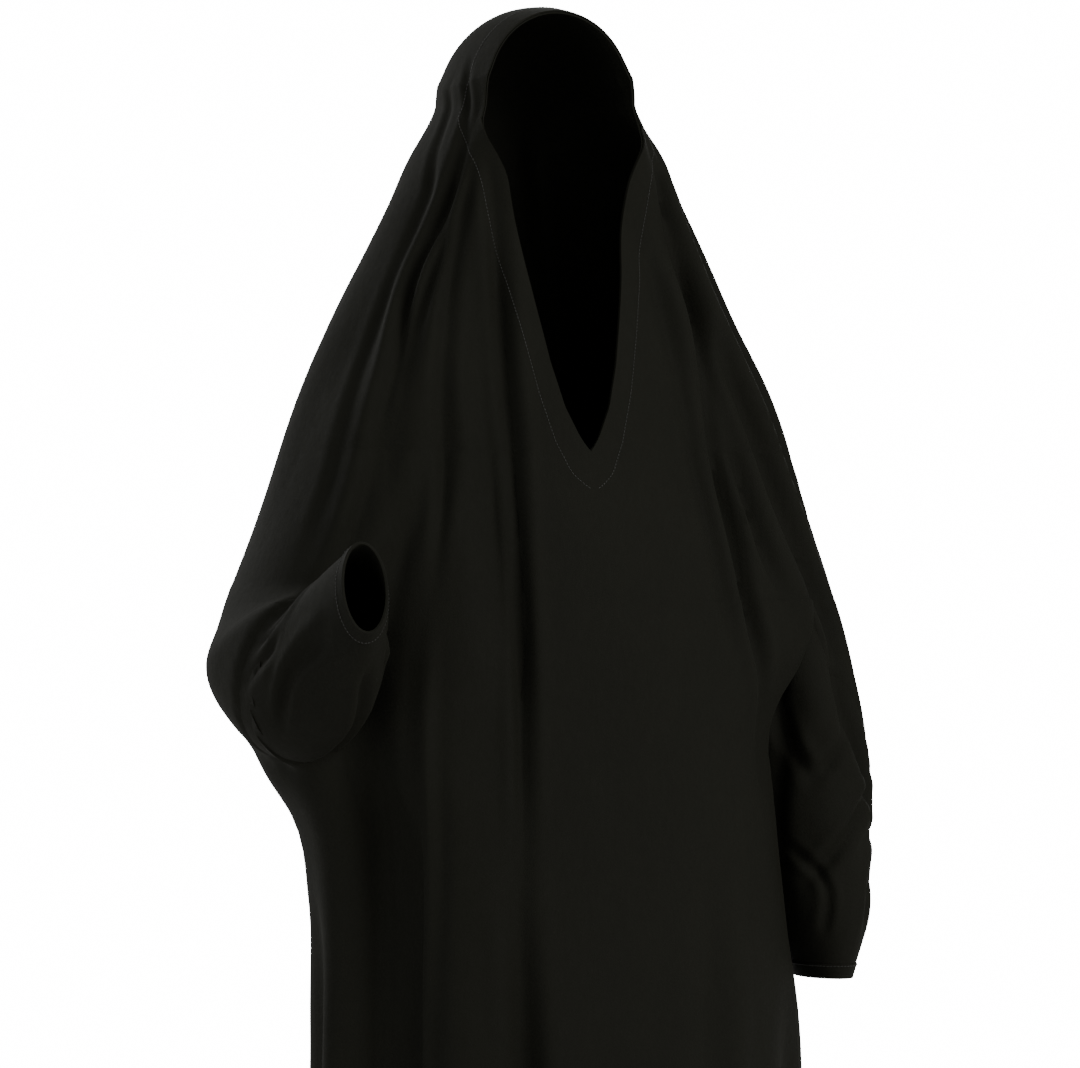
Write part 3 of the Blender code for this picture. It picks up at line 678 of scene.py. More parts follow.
def arm_tube(sections, columns, along):
    """A smooth tube through oval sections, given as centre, half width, half depth, tilt."""
    table = np.array(sections, float)
    steps = np.linalg.norm(np.diff(table[:, :3], axis=0), axis=1)
    stations = np.concatenate([[0.0], np.cumsum(steps)])
    stations = stations / stations[-1]
    values = np.stack([smooth(stations, table[:, k], along) for k in range(6)], 1)
    turn = np.linspace(0, 2 * np.pi, columns, endpoint=False)
    lean = np.radians(values[:, 5])[:, None]
    across = values[:, 3:4] * np.sin(turn)
    deep = -values[:, 4:5] * np.cos(turn)
    x = values[:, 0:1] + across
    y = values[:, 1:2] + deep * np.cos(lean)
    z = values[:, 2:3] - deep * np.sin(lean)
    return np.stack([x, y, z], 2)


def level_tube(drops, level, columns):
    """Level rows of points round the left arm, at one distance from its form."""
    turn = np.linspace(0, 2 * np.pi, columns, endpoint=False)
    out, forward, width, depth = [value[:, None] for value in read(LEFT_CURVES, np.asarray(drops) / LEFT_CUFF_DROP)]
    half_width, half_depth = width * ARM_HALF_WIDTH, depth * ARM_HALF_DEPTH
    across, deep = half_width * np.sin(turn), -half_depth * np.cos(turn)
    grown = 1 + level / np.hypot(across, deep)
    x = out * LEFT_REACH + grown * across
    y = -forward * ARM_HALF_DEPTH + grown * deep
    return np.stack([x, y, np.broadcast_to(-np.asarray(drops)[:, None], x.shape)], 2)


def right_sections():
    found = []
    for tilt, out, width, depth in ELBOW_SECTIONS[2:]:
        lean = math.radians(tilt)
        deep = depth * ARM_HALF_DEPTH
        y, z = CROOK[1] + (deep + CROOK_RADIUS) * math.cos(lean), CROOK[2] - (deep + CROOK_RADIUS) * math.sin(lean)
        found.append((-out * RIGHT_REACH, y, z, width * ARM_HALF_WIDTH - GAP, deep - GAP, tilt))
    for run, rise, tilt, out, width, depth in FOREARM_SECTIONS:
        deep = depth * ARM_HALF_DEPTH
        z = -RIGHT_ELBOW_DROP + rise * ARM_HALF_DEPTH - deep
        found.append((-out * RIGHT_REACH, CROOK[1] - run * RIGHT_FOREARM, z, width * ARM_HALF_WIDTH - GAP, deep - GAP, tilt))
    top = -RIGHT_ELBOW_DROP + CUFF_RISE * ARM_HALF_DEPTH
    found.append((-RIGHT_CUFF_OUT * RIGHT_REACH, CROOK[1] - RIGHT_FOREARM, top - CUFF_HALF_DEPTH,
                  CUFF_HALF_WIDTH - GAP, CUFF_HALF_DEPTH - GAP, RIGHT_CUFF_TILT))
    return found


SLEEVES = {
    "left": dict(length=LEFT_CUFF_DROP - LEFT_LEVEL + 0.012, arm=left_arm_field, beyond=beyond_left_seam, shares=0.30),
    "right": dict(length=0.30, arm=right_arm_field, beyond=beyond_right_seam, shares=0.07),
}


def sleeve_points(side, rows, proud=0.0, last=None):
    """A sleeve's surface as rows of points, its creases pressed in, or only the last
    stretch of it down to the cuff's edge."""
    start = 1 - last / SLEEVES[side]["length"] if last else 0.0
    share = np.linspace(start, 1, rows)
    if side == "left":
        along = LEFT_CUFF_DROP - (1 - share) * SLEEVES[side]["length"]
        points = level_tube(along, -GAP, ARM_COLUMNS)
    else:
        along = share
        points = arm_tube(right_sections(), ARM_COLUMNS, along)
    normals = grid_normals(points, closed=True)
    around = np.degrees(np.linspace(0, 2 * np.pi, ARM_COLUMNS, endpoint=False))
    centre = points.mean(axis=1, keepdims=True)
    radius = np.linalg.norm(points - centre, axis=2)
    depth = np.zeros_like(radius)
    for crease in SLEEVE_CREASES[side]:
        places = [place[0] for place in crease["path"]]
        bearings = smooth(places, [place[1] for place in crease["path"]], along)[:, None]
        step = np.linalg.norm(np.gradient(centre[:, 0], axis=0), axis=1)[:, None]
        slope = np.gradient(np.radians(bearings), axis=0) * radius.mean(axis=1, keepdims=True) / step
        away = np.radians((around[None, :] - bearings + 180) % 360 - 180) * radius / (crease["width"] * np.hypot(1, slope))
        span = places[-1] - places[0]
        ends = eased(places[0] - 0.1 * span, places[0] + 0.2 * span, along)
        ends = ends * (1 - eased(places[-1] - 0.25 * span, places[-1] + 0.1 * span, along))
        bank = 0.4 * np.exp(-((np.abs(away) - 1.8) ** 2))
        depth = depth + ends[:, None] * crease["depth"] * (np.exp(-(away ** 2)) - bank)
    past = SLEEVES[side]["beyond"](points[..., 0], points[..., 1], points[..., 2])
    shared = crease_depth(points, sleeve=True) * (1 - eased(0.0, SLEEVES[side]["shares"], past))
    plain = (1 - eased(0.86, 0.95, share))[:, None]
    depth = plain * (depth * eased(0.005, 0.05, past) + shared)
    return points - (depth - proud)[..., None] * normals


def sheet_mesh(name, points, thickness, drop_faces=None, closed=False, covered=None):
    """A cloth sheet from rows of points, with a UV map in metres, turned into a thin
    closed shell. Coincident points are joined."""
    count_rows, count_columns = points.shape[:2]
    flat = points.reshape(-1, 3)
    around = np.linalg.norm(np.diff(points, axis=1), axis=2)
    along = np.linalg.norm(np.diff(points, axis=0), axis=2)
    u = np.concatenate([np.zeros((count_rows, 1)), np.cumsum(around, axis=1)], axis=1)
    v = np.concatenate([np.zeros((1, count_columns)), np.cumsum(along, axis=0)], axis=0)
    if closed:
        u = np.concatenate([u, u[:, -1:] + np.linalg.norm(points[:, :1] - points[:, -1:], axis=2)], axis=1)
        v = np.concatenate([v, v[:, :1]], axis=1)
    else:
        u = u - u[:, -1:] / 2
    i, j = np.meshgrid(np.arange(count_rows - 1), np.arange(count_columns if closed else count_columns - 1), indexing="ij")
    i, j = i.ravel(), j.ravel()
    k = (j + 1) % count_columns
    corners = np.stack([i * count_columns + j, (i + 1) * count_columns + j, (i + 1) * count_columns + k, i * count_columns + k], 1)
    keep = np.ones(len(i), bool)
    if drop_faces is not None:
        keep = ~drop_faces(*flat[corners].mean(axis=1).T)
    if covered is not None:
        keep &= ~covered.ravel()
    corners = corners[keep]
    i, j = i[keep], j[keep]
    faces = corners.tolist()
    coords = np.stack([
        np.stack([u[i, j], u[i + 1, j], u[i + 1, j + 1], u[i, j + 1]], 1),
        np.stack([v[i, j], v[i + 1, j], v[i + 1, j + 1], v[i, j + 1]], 1),
    ], 2)
    mesh = bpy.data.meshes.new(name)
    mesh.from_pydata(flat.tolist(), [], faces)
    layer = mesh.uv_layers.new(name="cloth")
    layer.data.foreach_set("uv", coords.astype(np.float32).ravel())
    piece = bpy.data.objects.new(name, mesh)
    bpy.context.scene.collection.objects.link(piece)
    chosen(piece)
    bpy.ops.object.mode_set(mode="EDIT")
    bpy.ops.mesh.select_all(action="SELECT")
    bpy.ops.mesh.remove_doubles(threshold=1e-6)
    bpy.ops.mesh.delete_loose()
    bpy.ops.object.mode_set(mode="OBJECT")
    wall = piece.modifiers.new("wall", "SOLIDIFY")
    wall.thickness = thickness
    wall.offset = -1.0
    bpy.ops.object.modifier_apply(modifier=wall.name)
    piece.data.shade_smooth()
    bpy.ops.object.shade_smooth_by_angle(angle=math.radians(60))
    return piece


def chosen(piece):
    for other in bpy.context.selected_objects:
        other.select_set(False)
    piece.select_set(True)
    bpy.context.view_layer.objects.active = piece
    return piece


def stitched(name, paths, pitch, length, radius):
    """Short raised threads in a row along each path of (point, normal) pairs."""
    points = []
    faces = []
    for path, normals in paths:
        steps = np.linalg.norm(np.diff(path, axis=0), axis=1)
        run = np.concatenate([[0.0], np.cumsum(steps)])
        count = int(run[-1] / pitch)
        for k in range(count):
            middle = (k + 0.5) * run[-1] / count
            ends = [np.array([np.interp(at, run, path[:, c]) for c in range(3)])
                    for at in (middle - length / 2, middle + length / 2)]
            normal = np.array([np.interp(middle, run, normals[:, c]) for c in range(3)])
            normal /= np.linalg.norm(normal)
            along = ends[1] - ends[0]
            side = np.cross(along, normal)
            side /= max(np.linalg.norm(side), 1e-12)
            base = len(points)
            for share, lift, wide in ((0.0, -0.6, 0.35), (0.22, 0.5, 0.9), (0.5, 0.8, 1.0), (0.78, 0.5, 0.9), (1.0, -0.6, 0.35)):
                middle_point = ends[0] + share * along + lift * radius * normal
                for angle in range(0, 360, 60):
                    turned = math.cos(math.radians(angle)) * side + 0.8 * math.sin(math.radians(angle)) * normal
                    points.append(middle_point + wide * radius * turned)
            for ring in range(4):
                for j in range(6):
                    a, b = base + ring * 6 + j, base + ring * 6 + (j + 1) % 6
                    faces.append((a, b, b + 6, a + 6))
            faces.append(tuple(range(base + 5, base - 1, -1)))
            faces.append(tuple(range(base + 24, base + 30)))
    return plain_piece(name, points, faces)


def plain_piece(name, points, faces):
    mesh = bpy.data.meshes.new(name)
    mesh.from_pydata([tuple(point) for point in points], [], faces)
    piece = bpy.data.objects.new(name, mesh)
    bpy.context.scene.collection.objects.link(piece)
    chosen(piece)
    bpy.ops.object.mode_set(mode="EDIT")
    bpy.ops.mesh.select_all(action="SELECT")
    bpy.ops.mesh.normals_make_consistent(inside=False)
    bpy.ops.object.mode_set(mode="OBJECT")
    piece.data.shade_smooth()
    return piece


def ridge(name, path, normals, half_width, height):
    """A low rounded ridge along a path, its ends closed, lying on the cloth."""
    points = []
    faces = []
    tangents = np.gradient(path, axis=0)
    for point, normal, tangent in zip(path, normals, tangents):
        side = np.cross(tangent, normal)
        side /= max(np.linalg.norm(side), 1e-12)
        for angle in range(0, 360, 45):
            turn = math.radians(angle)
            points.append(point + half_width * math.cos(turn) * side + height * math.sin(turn) * normal)
    for i in range(len(path) - 1):
        for j in range(8):
            a, b = i * 8 + j, i * 8 + (j + 1) % 8
            faces.append((a, b, b + 8, a + 8))
    faces.append(tuple(range(7, -1, -1)))
    faces.append(tuple(range(len(points) - 8, len(points))))
    return plain_piece(name, points, faces)


class Sock:
    """A shader socket, so that maths on values can be written as expressions."""

    def __init__(self, graph, socket):
        self.graph = graph
        self.socket = socket

    def math(self, operation, other, flip=False):
        first, second = (other, self) if flip else (self, other)
        return self.graph.node("ShaderNodeMath", dict(operation=operation), {0: first, 1: second})

    def __add__(self, other):
        return self.math("ADD", other)

    def __radd__(self, other):
        return self.math("ADD", other, True)

    def __sub__(self, other):
        return self.math("SUBTRACT", other)

    def __rsub__(self, other):
        return self.math("SUBTRACT", other, True)

    def __mul__(self, other):
        return self.math("MULTIPLY", other)

    def __rmul__(self, other):
        return self.math("MULTIPLY", other, True)

    def __pow__(self, other):
        return self.math("POWER", other)


class Graph:
    """A material's nodes."""

    def __init__(self, name):
        self.material = bpy.data.materials.new(name)
        self.material.use_nodes = True
        self.tree = self.material.node_tree
        self.shader = self.tree.nodes["Principled BSDF"]

    def node(self, kind, settings, inputs, output=0):
        made = self.tree.nodes.new(kind)
        for name, value in settings.items():
            setattr(made, name, value)
        for key, value in inputs.items():
            self.feed(made.inputs[key], value)
        return Sock(self, made.outputs[output])

    def feed(self, socket, value):
        if isinstance(value, Sock):
            self.tree.links.new(value.socket, socket)
        else:
            socket.default_value = value

    def mix(self, factor, first, second):
        return self.node("ShaderNodeMix", dict(data_type="RGBA"), {0: factor, 6: first, 7: second}, 2)

    def noise(self, where, scale, detail=2.0, rough=0.5, distortion=0.0):
        return self.node("ShaderNodeTexNoise", {}, {
            "Vector": where, "Scale": scale, "Detail": detail, "Roughness": rough, "Distortion": distortion})

    def surface(self, **values):
        for name, value in values.items():
            self.feed(self.shader.inputs[name.replace("_", " ")], value)
        return self.material


def crepe(name, colour, light, roughness, sheen, pebble, creased):
    """Black crepe: twisted yarns in a fine plain weave, a pebbled face, soft handling
    creases and slightly greyed high spots."""
    graph = Graph(name)
    cloth = graph.node("ShaderNodeUVMap", dict(uv_map="cloth"), {})
    place = graph.node("ShaderNodeTexCoord", {}, {}, "Object")
    stretched = graph.node("ShaderNodeMapping", {}, {"Vector": place, "Scale": (1.0, 1.0, 0.35)})
    broad = graph.noise(place, 9.0, 3.0, 0.55)
    streak = graph.noise(stretched, 34.0, 3.0, 0.55, 0.3)
    grain = graph.noise(place, 850.0, 3.0, 0.65)
    slub = graph.noise(stretched, 240.0, 2.0, 0.6, 0.5)
    bands = dict(wave_type="BANDS", wave_profile="SIN")
    warp = graph.node("ShaderNodeTexWave", dict(bands, bands_direction="X"), {
        "Vector": cloth, "Scale": 240.0, "Distortion": 1.2, "Detail": 1.0, "Detail Scale": 0.5})
    weft = graph.node("ShaderNodeTexWave", dict(bands, bands_direction="Y"), {
        "Vector": cloth, "Scale": 240.0, "Distortion": 1.2, "Detail": 1.0, "Detail Scale": 0.5})
    worn = graph.noise(place, 55.0, 4.0, 0.6)
    tone = 0.45 * broad + 0.25 * streak + 0.30 * worn
    base = graph.mix(tone, (*colour, 1.0), (*light, 1.0))
    height = pebble * (grain - 0.5) + 0.5 * pebble * (slub - 0.5) + 0.22 * pebble * (warp + weft)
    fine = graph.node("ShaderNodeBump", {}, {"Strength": 0.45, "Distance": 0.0006, "Height": height})
    folds = creased * (streak + 0.6 * worn)
    bump = graph.node("ShaderNodeBump", {}, {"Strength": 0.5, "Distance": 0.004, "Height": folds, "Normal": fine})
    graph.surface(Sheen_Weight=sheen, Sheen_Roughness=0.45, Sheen_Tint=(0.80, 0.80, 0.62, 1.0), Metallic=0.0)
    graph.surface(Specular_IOR_Level=0.12)
    return graph.surface(Base_Color=base, Roughness=roughness + 0.12 * (slub - 0.5), Normal=bump)


def thread_material(colour):
    """Polyester thread: two plies twisted round each other, with a soft gloss."""
    graph = Graph("black_thread")
    place = graph.node("ShaderNodeTexCoord", {}, {}, "Object")
    ply = graph.node("ShaderNodeTexWave", dict(wave_type="BANDS", bands_direction="DIAGONAL"), {
        "Vector": place, "Scale": 900.0, "Distortion": 2.0})
    fuzz = graph.noise(place, 2200.0, 2.0)
    base = graph.mix(0.5 * ply + 0.5 * fuzz, (*colour, 1.0), (*[3 * c for c in colour], 1.0))
    bump = graph.node("ShaderNodeBump", {}, {"Strength": 0.4, "Distance": 0.0003, "Height": ply + 0.4 * fuzz})
    graph.surface(Sheen_Weight=0.2, Specular_IOR_Level=0.45, Metallic=0.0)
    return graph.surface(Base_Color=base, Roughness=0.45 + 0.2 * fuzz, Normal=bump)


def floor_material(colour):
    graph = Graph("pale_floor")
    place = graph.node("ShaderNodeTexCoord", {}, {}, "Object")
    tone = graph.noise(place, 3.0, 4.0)
    base = graph.mix(tone, (*colour, 1.0), (*[0.94 * c for c in colour], 1.0))
    return graph.surface(Base_Color=base, Roughness=0.75 + 0.1 * tone)


MATERIALS = {}
SURFACE = {}            # the cloak's finished rows, which the hem's stitches follow


def cloth_materials():
    """The finishes, made once from the panel's values."""
    if not MATERIALS:
        looks = bpy.context.scene.abaya_finish
        colour = tuple(looks.crepe_colour)
        light = tuple(looks.crepe_high)
        MATERIALS["crepe"] = crepe("black_crepe", colour, light, looks.roughness, looks.sheen, 1.0, 0.35)
        MATERIALS["facing"] = crepe("facing_crepe", colour, light, looks.roughness - 0.05, looks.sheen, 0.8, 0.15)
        MATERIALS["turned"] = crepe("pressed_hem_crepe", colour, light, looks.roughness - 0.06, 1.2 * looks.sheen, 0.8, 0.10)
        MATERIALS["thread"] = thread_material(tuple(looks.thread_colour))
    return MATERIALS


def finished(piece, material):
    piece.data.materials.clear()
    piece.data.materials.append(cloth_materials()[material])
    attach(piece, "root")
    return piece


def inside_armhole(x, y, z):
    """Which faces of the cloak would close the way into a sleeve."""
    right = (x < 0) & (beyond_right_seam(x, y, z) > 0.004) & (right_arm_field(x, y, z) < -0.009)
    return right & (body_field(x, y, z) > 0.003)


def make_wing(thickness):
    """The left wing below the level row, down to its slanting seam and under the sleeve."""
    points = level_tube(np.linspace(LEFT_LEVEL - 0.001, 0.79, 46), WALL, ARM_COLUMNS)
    x, y, z = points[..., 0], points[..., 1], points[..., 2]
    past = slanted(x, z)
    normals = grid_normals(points, closed=True)
    sunk = SINK * eased(0.0, 0.010, past) + 0.0004 * (1 - eased(LEFT_LEVEL, LEFT_LEVEL + 0.004, -z))
    points = points - (crease_depth(points, sleeve=True) * (1 - eased(0.0, 0.30, past)) + sunk)[..., None] * normals
    return sheet_mesh("wing", points, thickness, lambda x, y, z: (slanted(x, z) > TUCK) | (body_field(x, y, z) < -0.008), closed=True)


def make_cloak(shape):
    rows = cloak_rows()
    normals = grid_normals(rows)
    points = crumpled(rows, normals)
    closed_rows = np.linalg.norm(rows[:, 0] - rows[:, -1], axis=1) < 1e-9
    points[closed_rows, 0] = points[closed_rows, -1] = 0.5 * (points[closed_rows, 0] + points[closed_rows, -1])
    points[1:HOOD_ROWS + 1, 0] = points[0, 0]
    points[1:HOOD_ROWS + 1, -1] = points[0, -1]
    SURFACE["rows"] = points
    wing = make_wing(shape.thickness)
    cloak = sheet_mesh("cloak_crepe", points, shape.thickness, inside_armhole, covered=SURFACE["covered"])
    wing.select_set(True)
    bpy.ops.object.join()
    finished(cloak, "crepe")
    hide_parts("cloak")
    return cloak


class AbayaShape(bpy.types.PropertyGroup):
    thickness: bpy.props.FloatProperty(
        name="Cloth thickness", description="Drawn thickness of the crepe",
        default=0.0016, min=0.0005, max=0.003, unit="LENGTH", precision=4)
    facing_thickness: bpy.props.FloatProperty(
        name="Facing thickness", description="Drawn thickness of the facing",
        default=0.0012, min=0.0005, max=0.002, unit="LENGTH", precision=4)
    stitch_pitch: bpy.props.FloatProperty(
        name="Stitch pitch", description="From one stitch to the next",
        default=0.0036, min=0.002, max=0.008, unit="LENGTH", precision=4)
    stitch_length: bpy.props.FloatProperty(
        name="Stitch length", description="Length of the thread that shows in one stitch",
        default=0.0026, min=0.001, max=0.006, unit="LENGTH", precision=4)


class AbayaFinish(bpy.types.PropertyGroup):
    crepe_colour: bpy.props.FloatVectorProperty(
        name="Crepe", description="Colour of the crepe in its hollows",
        default=(0.0058, 0.0060, 0.0038), size=3, subtype="COLOR", min=0.0, max=1.0)
    crepe_high: bpy.props.FloatVectorProperty(
        name="Crepe, raised", description="Colour of the crepe where it is rubbed a little grey",
        default=(0.0100, 0.0102, 0.0068), size=3, subtype="COLOR", min=0.0, max=1.0)
    thread_colour: bpy.props.FloatVectorProperty(
        name="Thread", description="Colour of the sewing thread",
        default=(0.0068, 0.0068, 0.0056), size=3, subtype="COLOR", min=0.0, max=1.0)
    roughness: bpy.props.FloatProperty(
        name="Roughness", description="How matt the crepe is", default=0.80, min=0.3, max=1.0, subtype="FACTOR")
    sheen: bpy.props.FloatProperty(
        name="Sheen", description="Soft light along turned edges", default=0.012, min=0.0, max=1.0, subtype="FACTOR")


class AbayaStudio(bpy.types.PropertyGroup):
    azimuth: bpy.props.FloatProperty(
        name="Camera azimuth", description="Camera's place round the garment, 0 in front",
        default=math.radians(-27), subtype="ANGLE")
    distance: bpy.props.FloatProperty(
        name="Camera distance", description="From the camera to the garment's middle",
        default=5.0, min=2.0, max=12.0, unit="LENGTH")
    lens: bpy.props.FloatProperty(
        name="Lens", description="Focal length on a 36 mm sensor, in millimetres", default=166.67, min=35, max=300)
    surround: bpy.props.FloatProperty(
        name="Surround", description="Brightness of the white room round the garment", default=0.33, min=0, max=5)
    backdrop: bpy.props.FloatProperty(
        name="Backdrop", description="Brightness of the white room behind the garment", default=16.0, min=0, max=20)
    key: bpy.props.FloatProperty(
        name="Key light", description="Power of the large light at the right", default=86.0, min=0, max=2000, unit="POWER")
    floor_drop: bpy.props.FloatProperty(
        name="Floor", description="Drop from the crown to the floor", default=1.75, min=1.67, max=2.2, unit="LENGTH")


class ABAYA_OT_cloak(bpy.types.Operator):
    """Make the crepe cloak with its hood"""

    bl_idname = "abaya.cloak"
    bl_label = "Cloak"

    def execute(self, context):
        make_cloak(context.scene.abaya_shape)
        return {"FINISHED"}


def facing_points():
    """The facing's outer side: stations round the opening, each running from its edge
    to the line of topstitching."""
    shares = np.linspace(0, 1, 7)
    level = -GAP
    sides = {1: [], -1: []}
    drops = np.concatenate([np.arange(V_DROP + FACING_POINT - 0.001, V_DROP, -0.004), np.linspace(V_DROP, TEMPLE_DROP + 0.002, 80)])
    for drop in drops:
        for side in (1, -1):
            sides[side].append(from_edge(drop, side, level, facing_run(drop) * shares))
    arch = []
    for turn in np.linspace(0, np.pi, 121):
        ray = (math.cos(turn), 0.0, math.sin(turn))
        y = -RIM_FORWARD + FACING_WIDTH * shares
        origins = np.stack([np.zeros_like(y), y, np.full_like(y, -TEMPLE_DROP)], 1)
        rays = np.tile(ray, (len(y), 1))
        arch.append(origins + marched(origins, rays, cloak_field, level)[:, None] * rays)
    return np.array(sides[1] + arch + sides[-1][::-1])


class ABAYA_OT_facing(bpy.types.Operator):
    """Make the facing inside the face opening"""

    bl_idname = "abaya.facing"
    bl_label = "Facing"

    def execute(self, context):
        points = facing_points()
        normals = -grid_normals(points)
        points = crumpled(points, normals)
        facing = sheet_mesh("facing_crepe", points[:, ::-1], context.scene.abaya_shape.facing_thickness)
        finished(facing, "facing")
        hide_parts("face_facing")
        return {"FINISHED"}


class ABAYA_OT_sleeves(bpy.types.Operator):
    """Make both sleeves"""

    bl_idname = "abaya.sleeves"
    bl_label = "Sleeves"

    def execute(self, context):
        for side, arm in SLEEVES.items():
            points = sleeve_points(side, 110)
            beyond = arm["beyond"]

            def hidden(x, y, z, beyond=beyond):
                return (beyond(x, y, z) < -0.008) | (body_field(x, y, z) < -0.012)

            sleeve = sheet_mesh(f"sleeve_{side}_crepe", points, context.scene.abaya_shape.thickness, hidden, closed=True)
            finished(sleeve, "crepe")
            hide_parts(f"sleeve_{side}")
        return {"FINISHED"}


class ABAYA_OT_cuffs(bpy.types.Operator):
    """Make the turned cuffs of both sleeves"""

    bl_idname = "abaya.cuffs"
    bl_label = "Cuffs"

    def execute(self, context):
        for side in SLEEVES:
            points = sleeve_points(side, 9, proud=0.0012, last=CUFF_LENGTH)
            cuff = sheet_mesh(f"cuff_{side}_crepe", points, 0.0024, closed=True)
            edge = cuff.modifiers.new("edge", "BEVEL")
            edge.width = 0.0006
            edge.segments = 2
            edge.limit_method = "ANGLE"
            bpy.ops.object.modifier_apply(modifier=edge.name)
            finished(cuff, "turned")
            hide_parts(f"cuff_{side}")
        return {"FINISHED"}


class ABAYA_OT_studio(bpy.types.Operator):
    """Set up the floor, the lights and the camera"""

    bl_idname = "abaya.studio"
    bl_label = "Studio"

    def execute(self, context):
        studio = context.scene.abaya_studio
        chosen_none()
        bpy.ops.mesh.primitive_circle_add(vertices=96, radius=3.4, fill_type="NGON", location=(0, 0, -studio.floor_drop))
        floor = context.active_object
        floor.name = "floor"
        floor.data.materials.append(floor_material((0.78, 0.77, 0.76)))
        world = bpy.data.worlds.new("studio")
        context.scene.world = world
        world.use_nodes = True
        backdrop = world.node_tree.nodes["Background"]
        backdrop.inputs["Color"].default_value = (1.0, 1.0, 1.0, 1.0)
        seen = world.node_tree.nodes.new("ShaderNodeLightPath")
        bright = world.node_tree.nodes.new("ShaderNodeMapRange")
        bright.inputs["To Min"].default_value = studio.surround
        bright.inputs["To Max"].default_value = studio.backdrop
        world.node_tree.links.new(seen.outputs["Is Camera Ray"], bright.inputs["Value"])
        world.node_tree.links.new(bright.outputs["Result"], backdrop.inputs["Strength"])
        lamps = [
            # name, bearing, height, distance, size, power, warmth
            ("key", 24, 0.9, 3.2, 1.8, studio.key, (1.0, 0.99, 0.97)),
            ("fill", -75, 0.2, 3.4, 2.2, 0.34 * studio.key, (0.98, 0.99, 1.0)),
            ("rim_left", -150, 0.8, 3.0, 1.4, 0.5 * studio.key, (1.0, 1.0, 1.0)),
            ("rim_right", 140, 0.8, 3.0, 1.4, 0.5 * studio.key, (1.0, 1.0, 1.0)),
        ]
        for name, bearing, height, distance, size, power, warmth in lamps:
            turn = math.radians(bearing)
            lamp = bpy.data.lights.new(name, "AREA")
            lamp.shape = "RECTANGLE"
            lamp.size = size
            lamp.size_y = 1.6 * size
            lamp.energy = power
            lamp.color = warmth
            thing = bpy.data.objects.new(name, lamp)
            context.scene.collection.objects.link(thing)
            thing.location = (distance * math.sin(turn), -distance * math.cos(turn), height)
            aim = Vector((0.0, 0.0, -0.7)) - thing.location
            thing.rotation_euler = aim.to_track_quat("-Z", "Y").to_euler()
        camera = bpy.data.objects.new("camera", bpy.data.cameras.new("camera"))
        context.scene.collection.objects.link(camera)
        camera.data.sensor_width = 36.0
        camera.data.lens = studio.lens
        turn = studio.azimuth
        away = Vector((math.sin(turn), -math.cos(turn), 0.0))
        across = Vector((math.cos(turn), math.sin(turn), 0.0))
        camera.location = 0.007 * across + Vector((0.0, 0.0, -0.524)) + studio.distance * away
        camera.rotation_euler = (-away).to_track_quat("-Z", "Y").to_euler()
        context.scene.camera = camera
        return {"FINISHED"}


def chosen_none():
    for other in bpy.context.selected_objects:
        other.select_set(False)


def outward(points, field):
    """Outward normals of a field at points."""
    step = 0.0015
    sides = []
    for k in range(3):
        shift = np.zeros(3)
        shift[k] = step
        ahead, behind = points + shift, points - shift
        sides.append(field(ahead[:, 0], ahead[:, 1], ahead[:, 2]) - field(behind[:, 0], behind[:, 1], behind[:, 2]))
    normals = np.stack(sides, 1)
    return normals / np.maximum(np.linalg.norm(normals, axis=1, keepdims=True), 1e-12)


def topstitch_path():
    """The line of topstitching that holds the facing, up one side and down the other."""
    inset = 0.002
    left = []
    right = []
    for drop in np.linspace(V_DROP + FACING_POINT - 0.002, TEMPLE_DROP + 0.002, 150):
        run = max(facing_run(drop) - inset, 0.0)
        left.append(from_edge(drop, 1, WALL, [run])[0])
        right.append(from_edge(drop, -1, WALL, [run])[0])
    arch = []
    y = -RIM_FORWARD + FACING_WIDTH - inset
    for turn in np.linspace(0, np.pi, 140):
        origin = np.array([[0.0, y, -TEMPLE_DROP]])
        ray = np.array([[math.cos(turn), 0.0, math.sin(turn)]])
        arch.append((origin + marched(origin, ray, cloak_field, WALL)[:, None] * ray)[0])
    path = np.array(left + arch + right[::-1])
    normals = outward(path, cloak_field)
    return crumpled(path[:, None], normals[:, None])[:, 0], normals


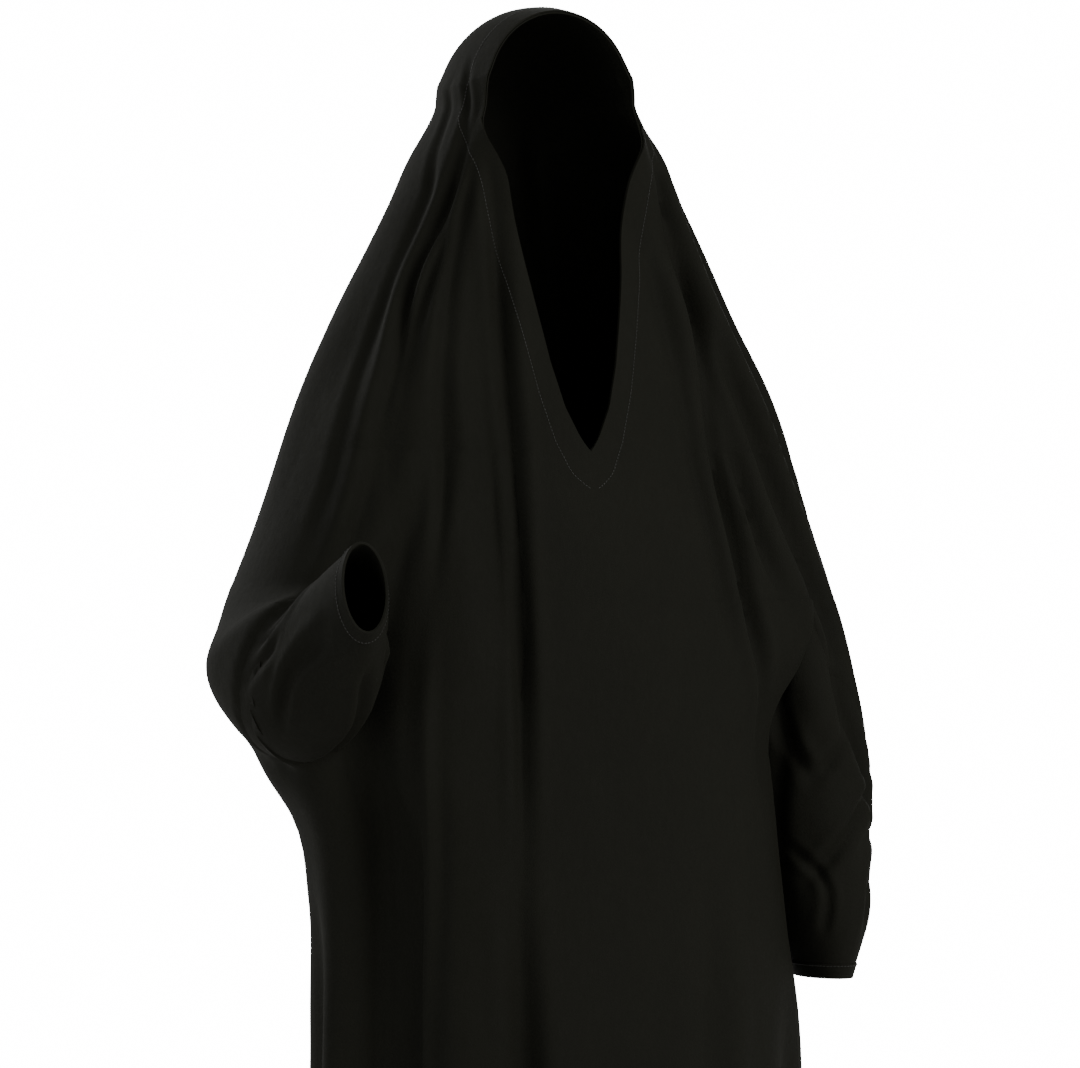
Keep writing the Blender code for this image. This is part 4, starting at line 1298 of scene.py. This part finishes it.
class ABAYA_OT_stitching(bpy.types.Operator):
    """Sew the facing, the cuffs and the hem"""

    bl_idname = "abaya.stitching"
    bl_label = "Stitching"

    def execute(self, context):
        shape = context.scene.abaya_shape
        top = stitched("topstitching", [topstitch_path()], shape.stitch_pitch, shape.stitch_length, 0.00045)
        finished(top, "thread")
        rows = SURFACE["rows"]
        normals = grid_normals(rows)
        row = int(np.argmin(np.abs(rows[:, 0, 2] + LENGTH - HEM_WIDTH)))
        hem = stitched("hem_stitching", [(rows[row], normals[row])], shape.stitch_pitch, shape.stitch_length, 0.0004)
        finished(hem, "thread")
        for side in SLEEVES:
            points = sleeve_points(side, 5, proud=0.0013, last=CUFF_LENGTH - 0.0015)
            normals = grid_normals(points, closed=True)
            ring = [np.concatenate([values[0], values[0][:1]]) for values in (points, normals)]
            cuff = stitched(f"cuff_{side}_stitching", [ring], shape.stitch_pitch, shape.stitch_length, 0.0004)
            finished(cuff, "thread")
        return {"FINISHED"}


class ABAYA_PT_panel(bpy.types.Panel):
    """Sizes, finishes and steps of the abaya"""

    bl_idname = "ABAYA_PT_panel"
    bl_label = "Overhead Abaya"
    bl_space_type = "VIEW_3D"
    bl_region_type = "UI"
    bl_category = "Abaya"

    def draw(self, context):
        for group in ("abaya_shape", "abaya_finish", "abaya_studio"):
            box = self.layout.box()
            values = getattr(context.scene, group)
            for name in values.__annotations__:
                box.prop(values, name)
        for step in STEPS:
            self.layout.operator(step.bl_idname)


GROUPS = {"abaya_shape": AbayaShape, "abaya_finish": AbayaFinish, "abaya_studio": AbayaStudio}
STEPS = (ABAYA_OT_cloak, ABAYA_OT_facing, ABAYA_OT_sleeves, ABAYA_OT_cuffs, ABAYA_OT_stitching, ABAYA_OT_studio)


def register():
    for group in (*GROUPS.values(), *STEPS, ABAYA_PT_panel):
        bpy.utils.register_class(group)
    for name, group in GROUPS.items():
        setattr(bpy.types.Scene, name, bpy.props.PointerProperty(type=group))


def unregister():
    for name in GROUPS:
        delattr(bpy.types.Scene, name)
    for group in (ABAYA_PT_panel, *STEPS, *GROUPS.values()):
        bpy.utils.unregister_class(group)


def main():
    register()
    bpy.ops.abaya.cloak()
    bpy.ops.abaya.facing()
    bpy.ops.abaya.sleeves()
    bpy.ops.abaya.cuffs()
    bpy.ops.abaya.stitching()
    bpy.ops.abaya.studio()


if __name__ == "__main__":
    main()
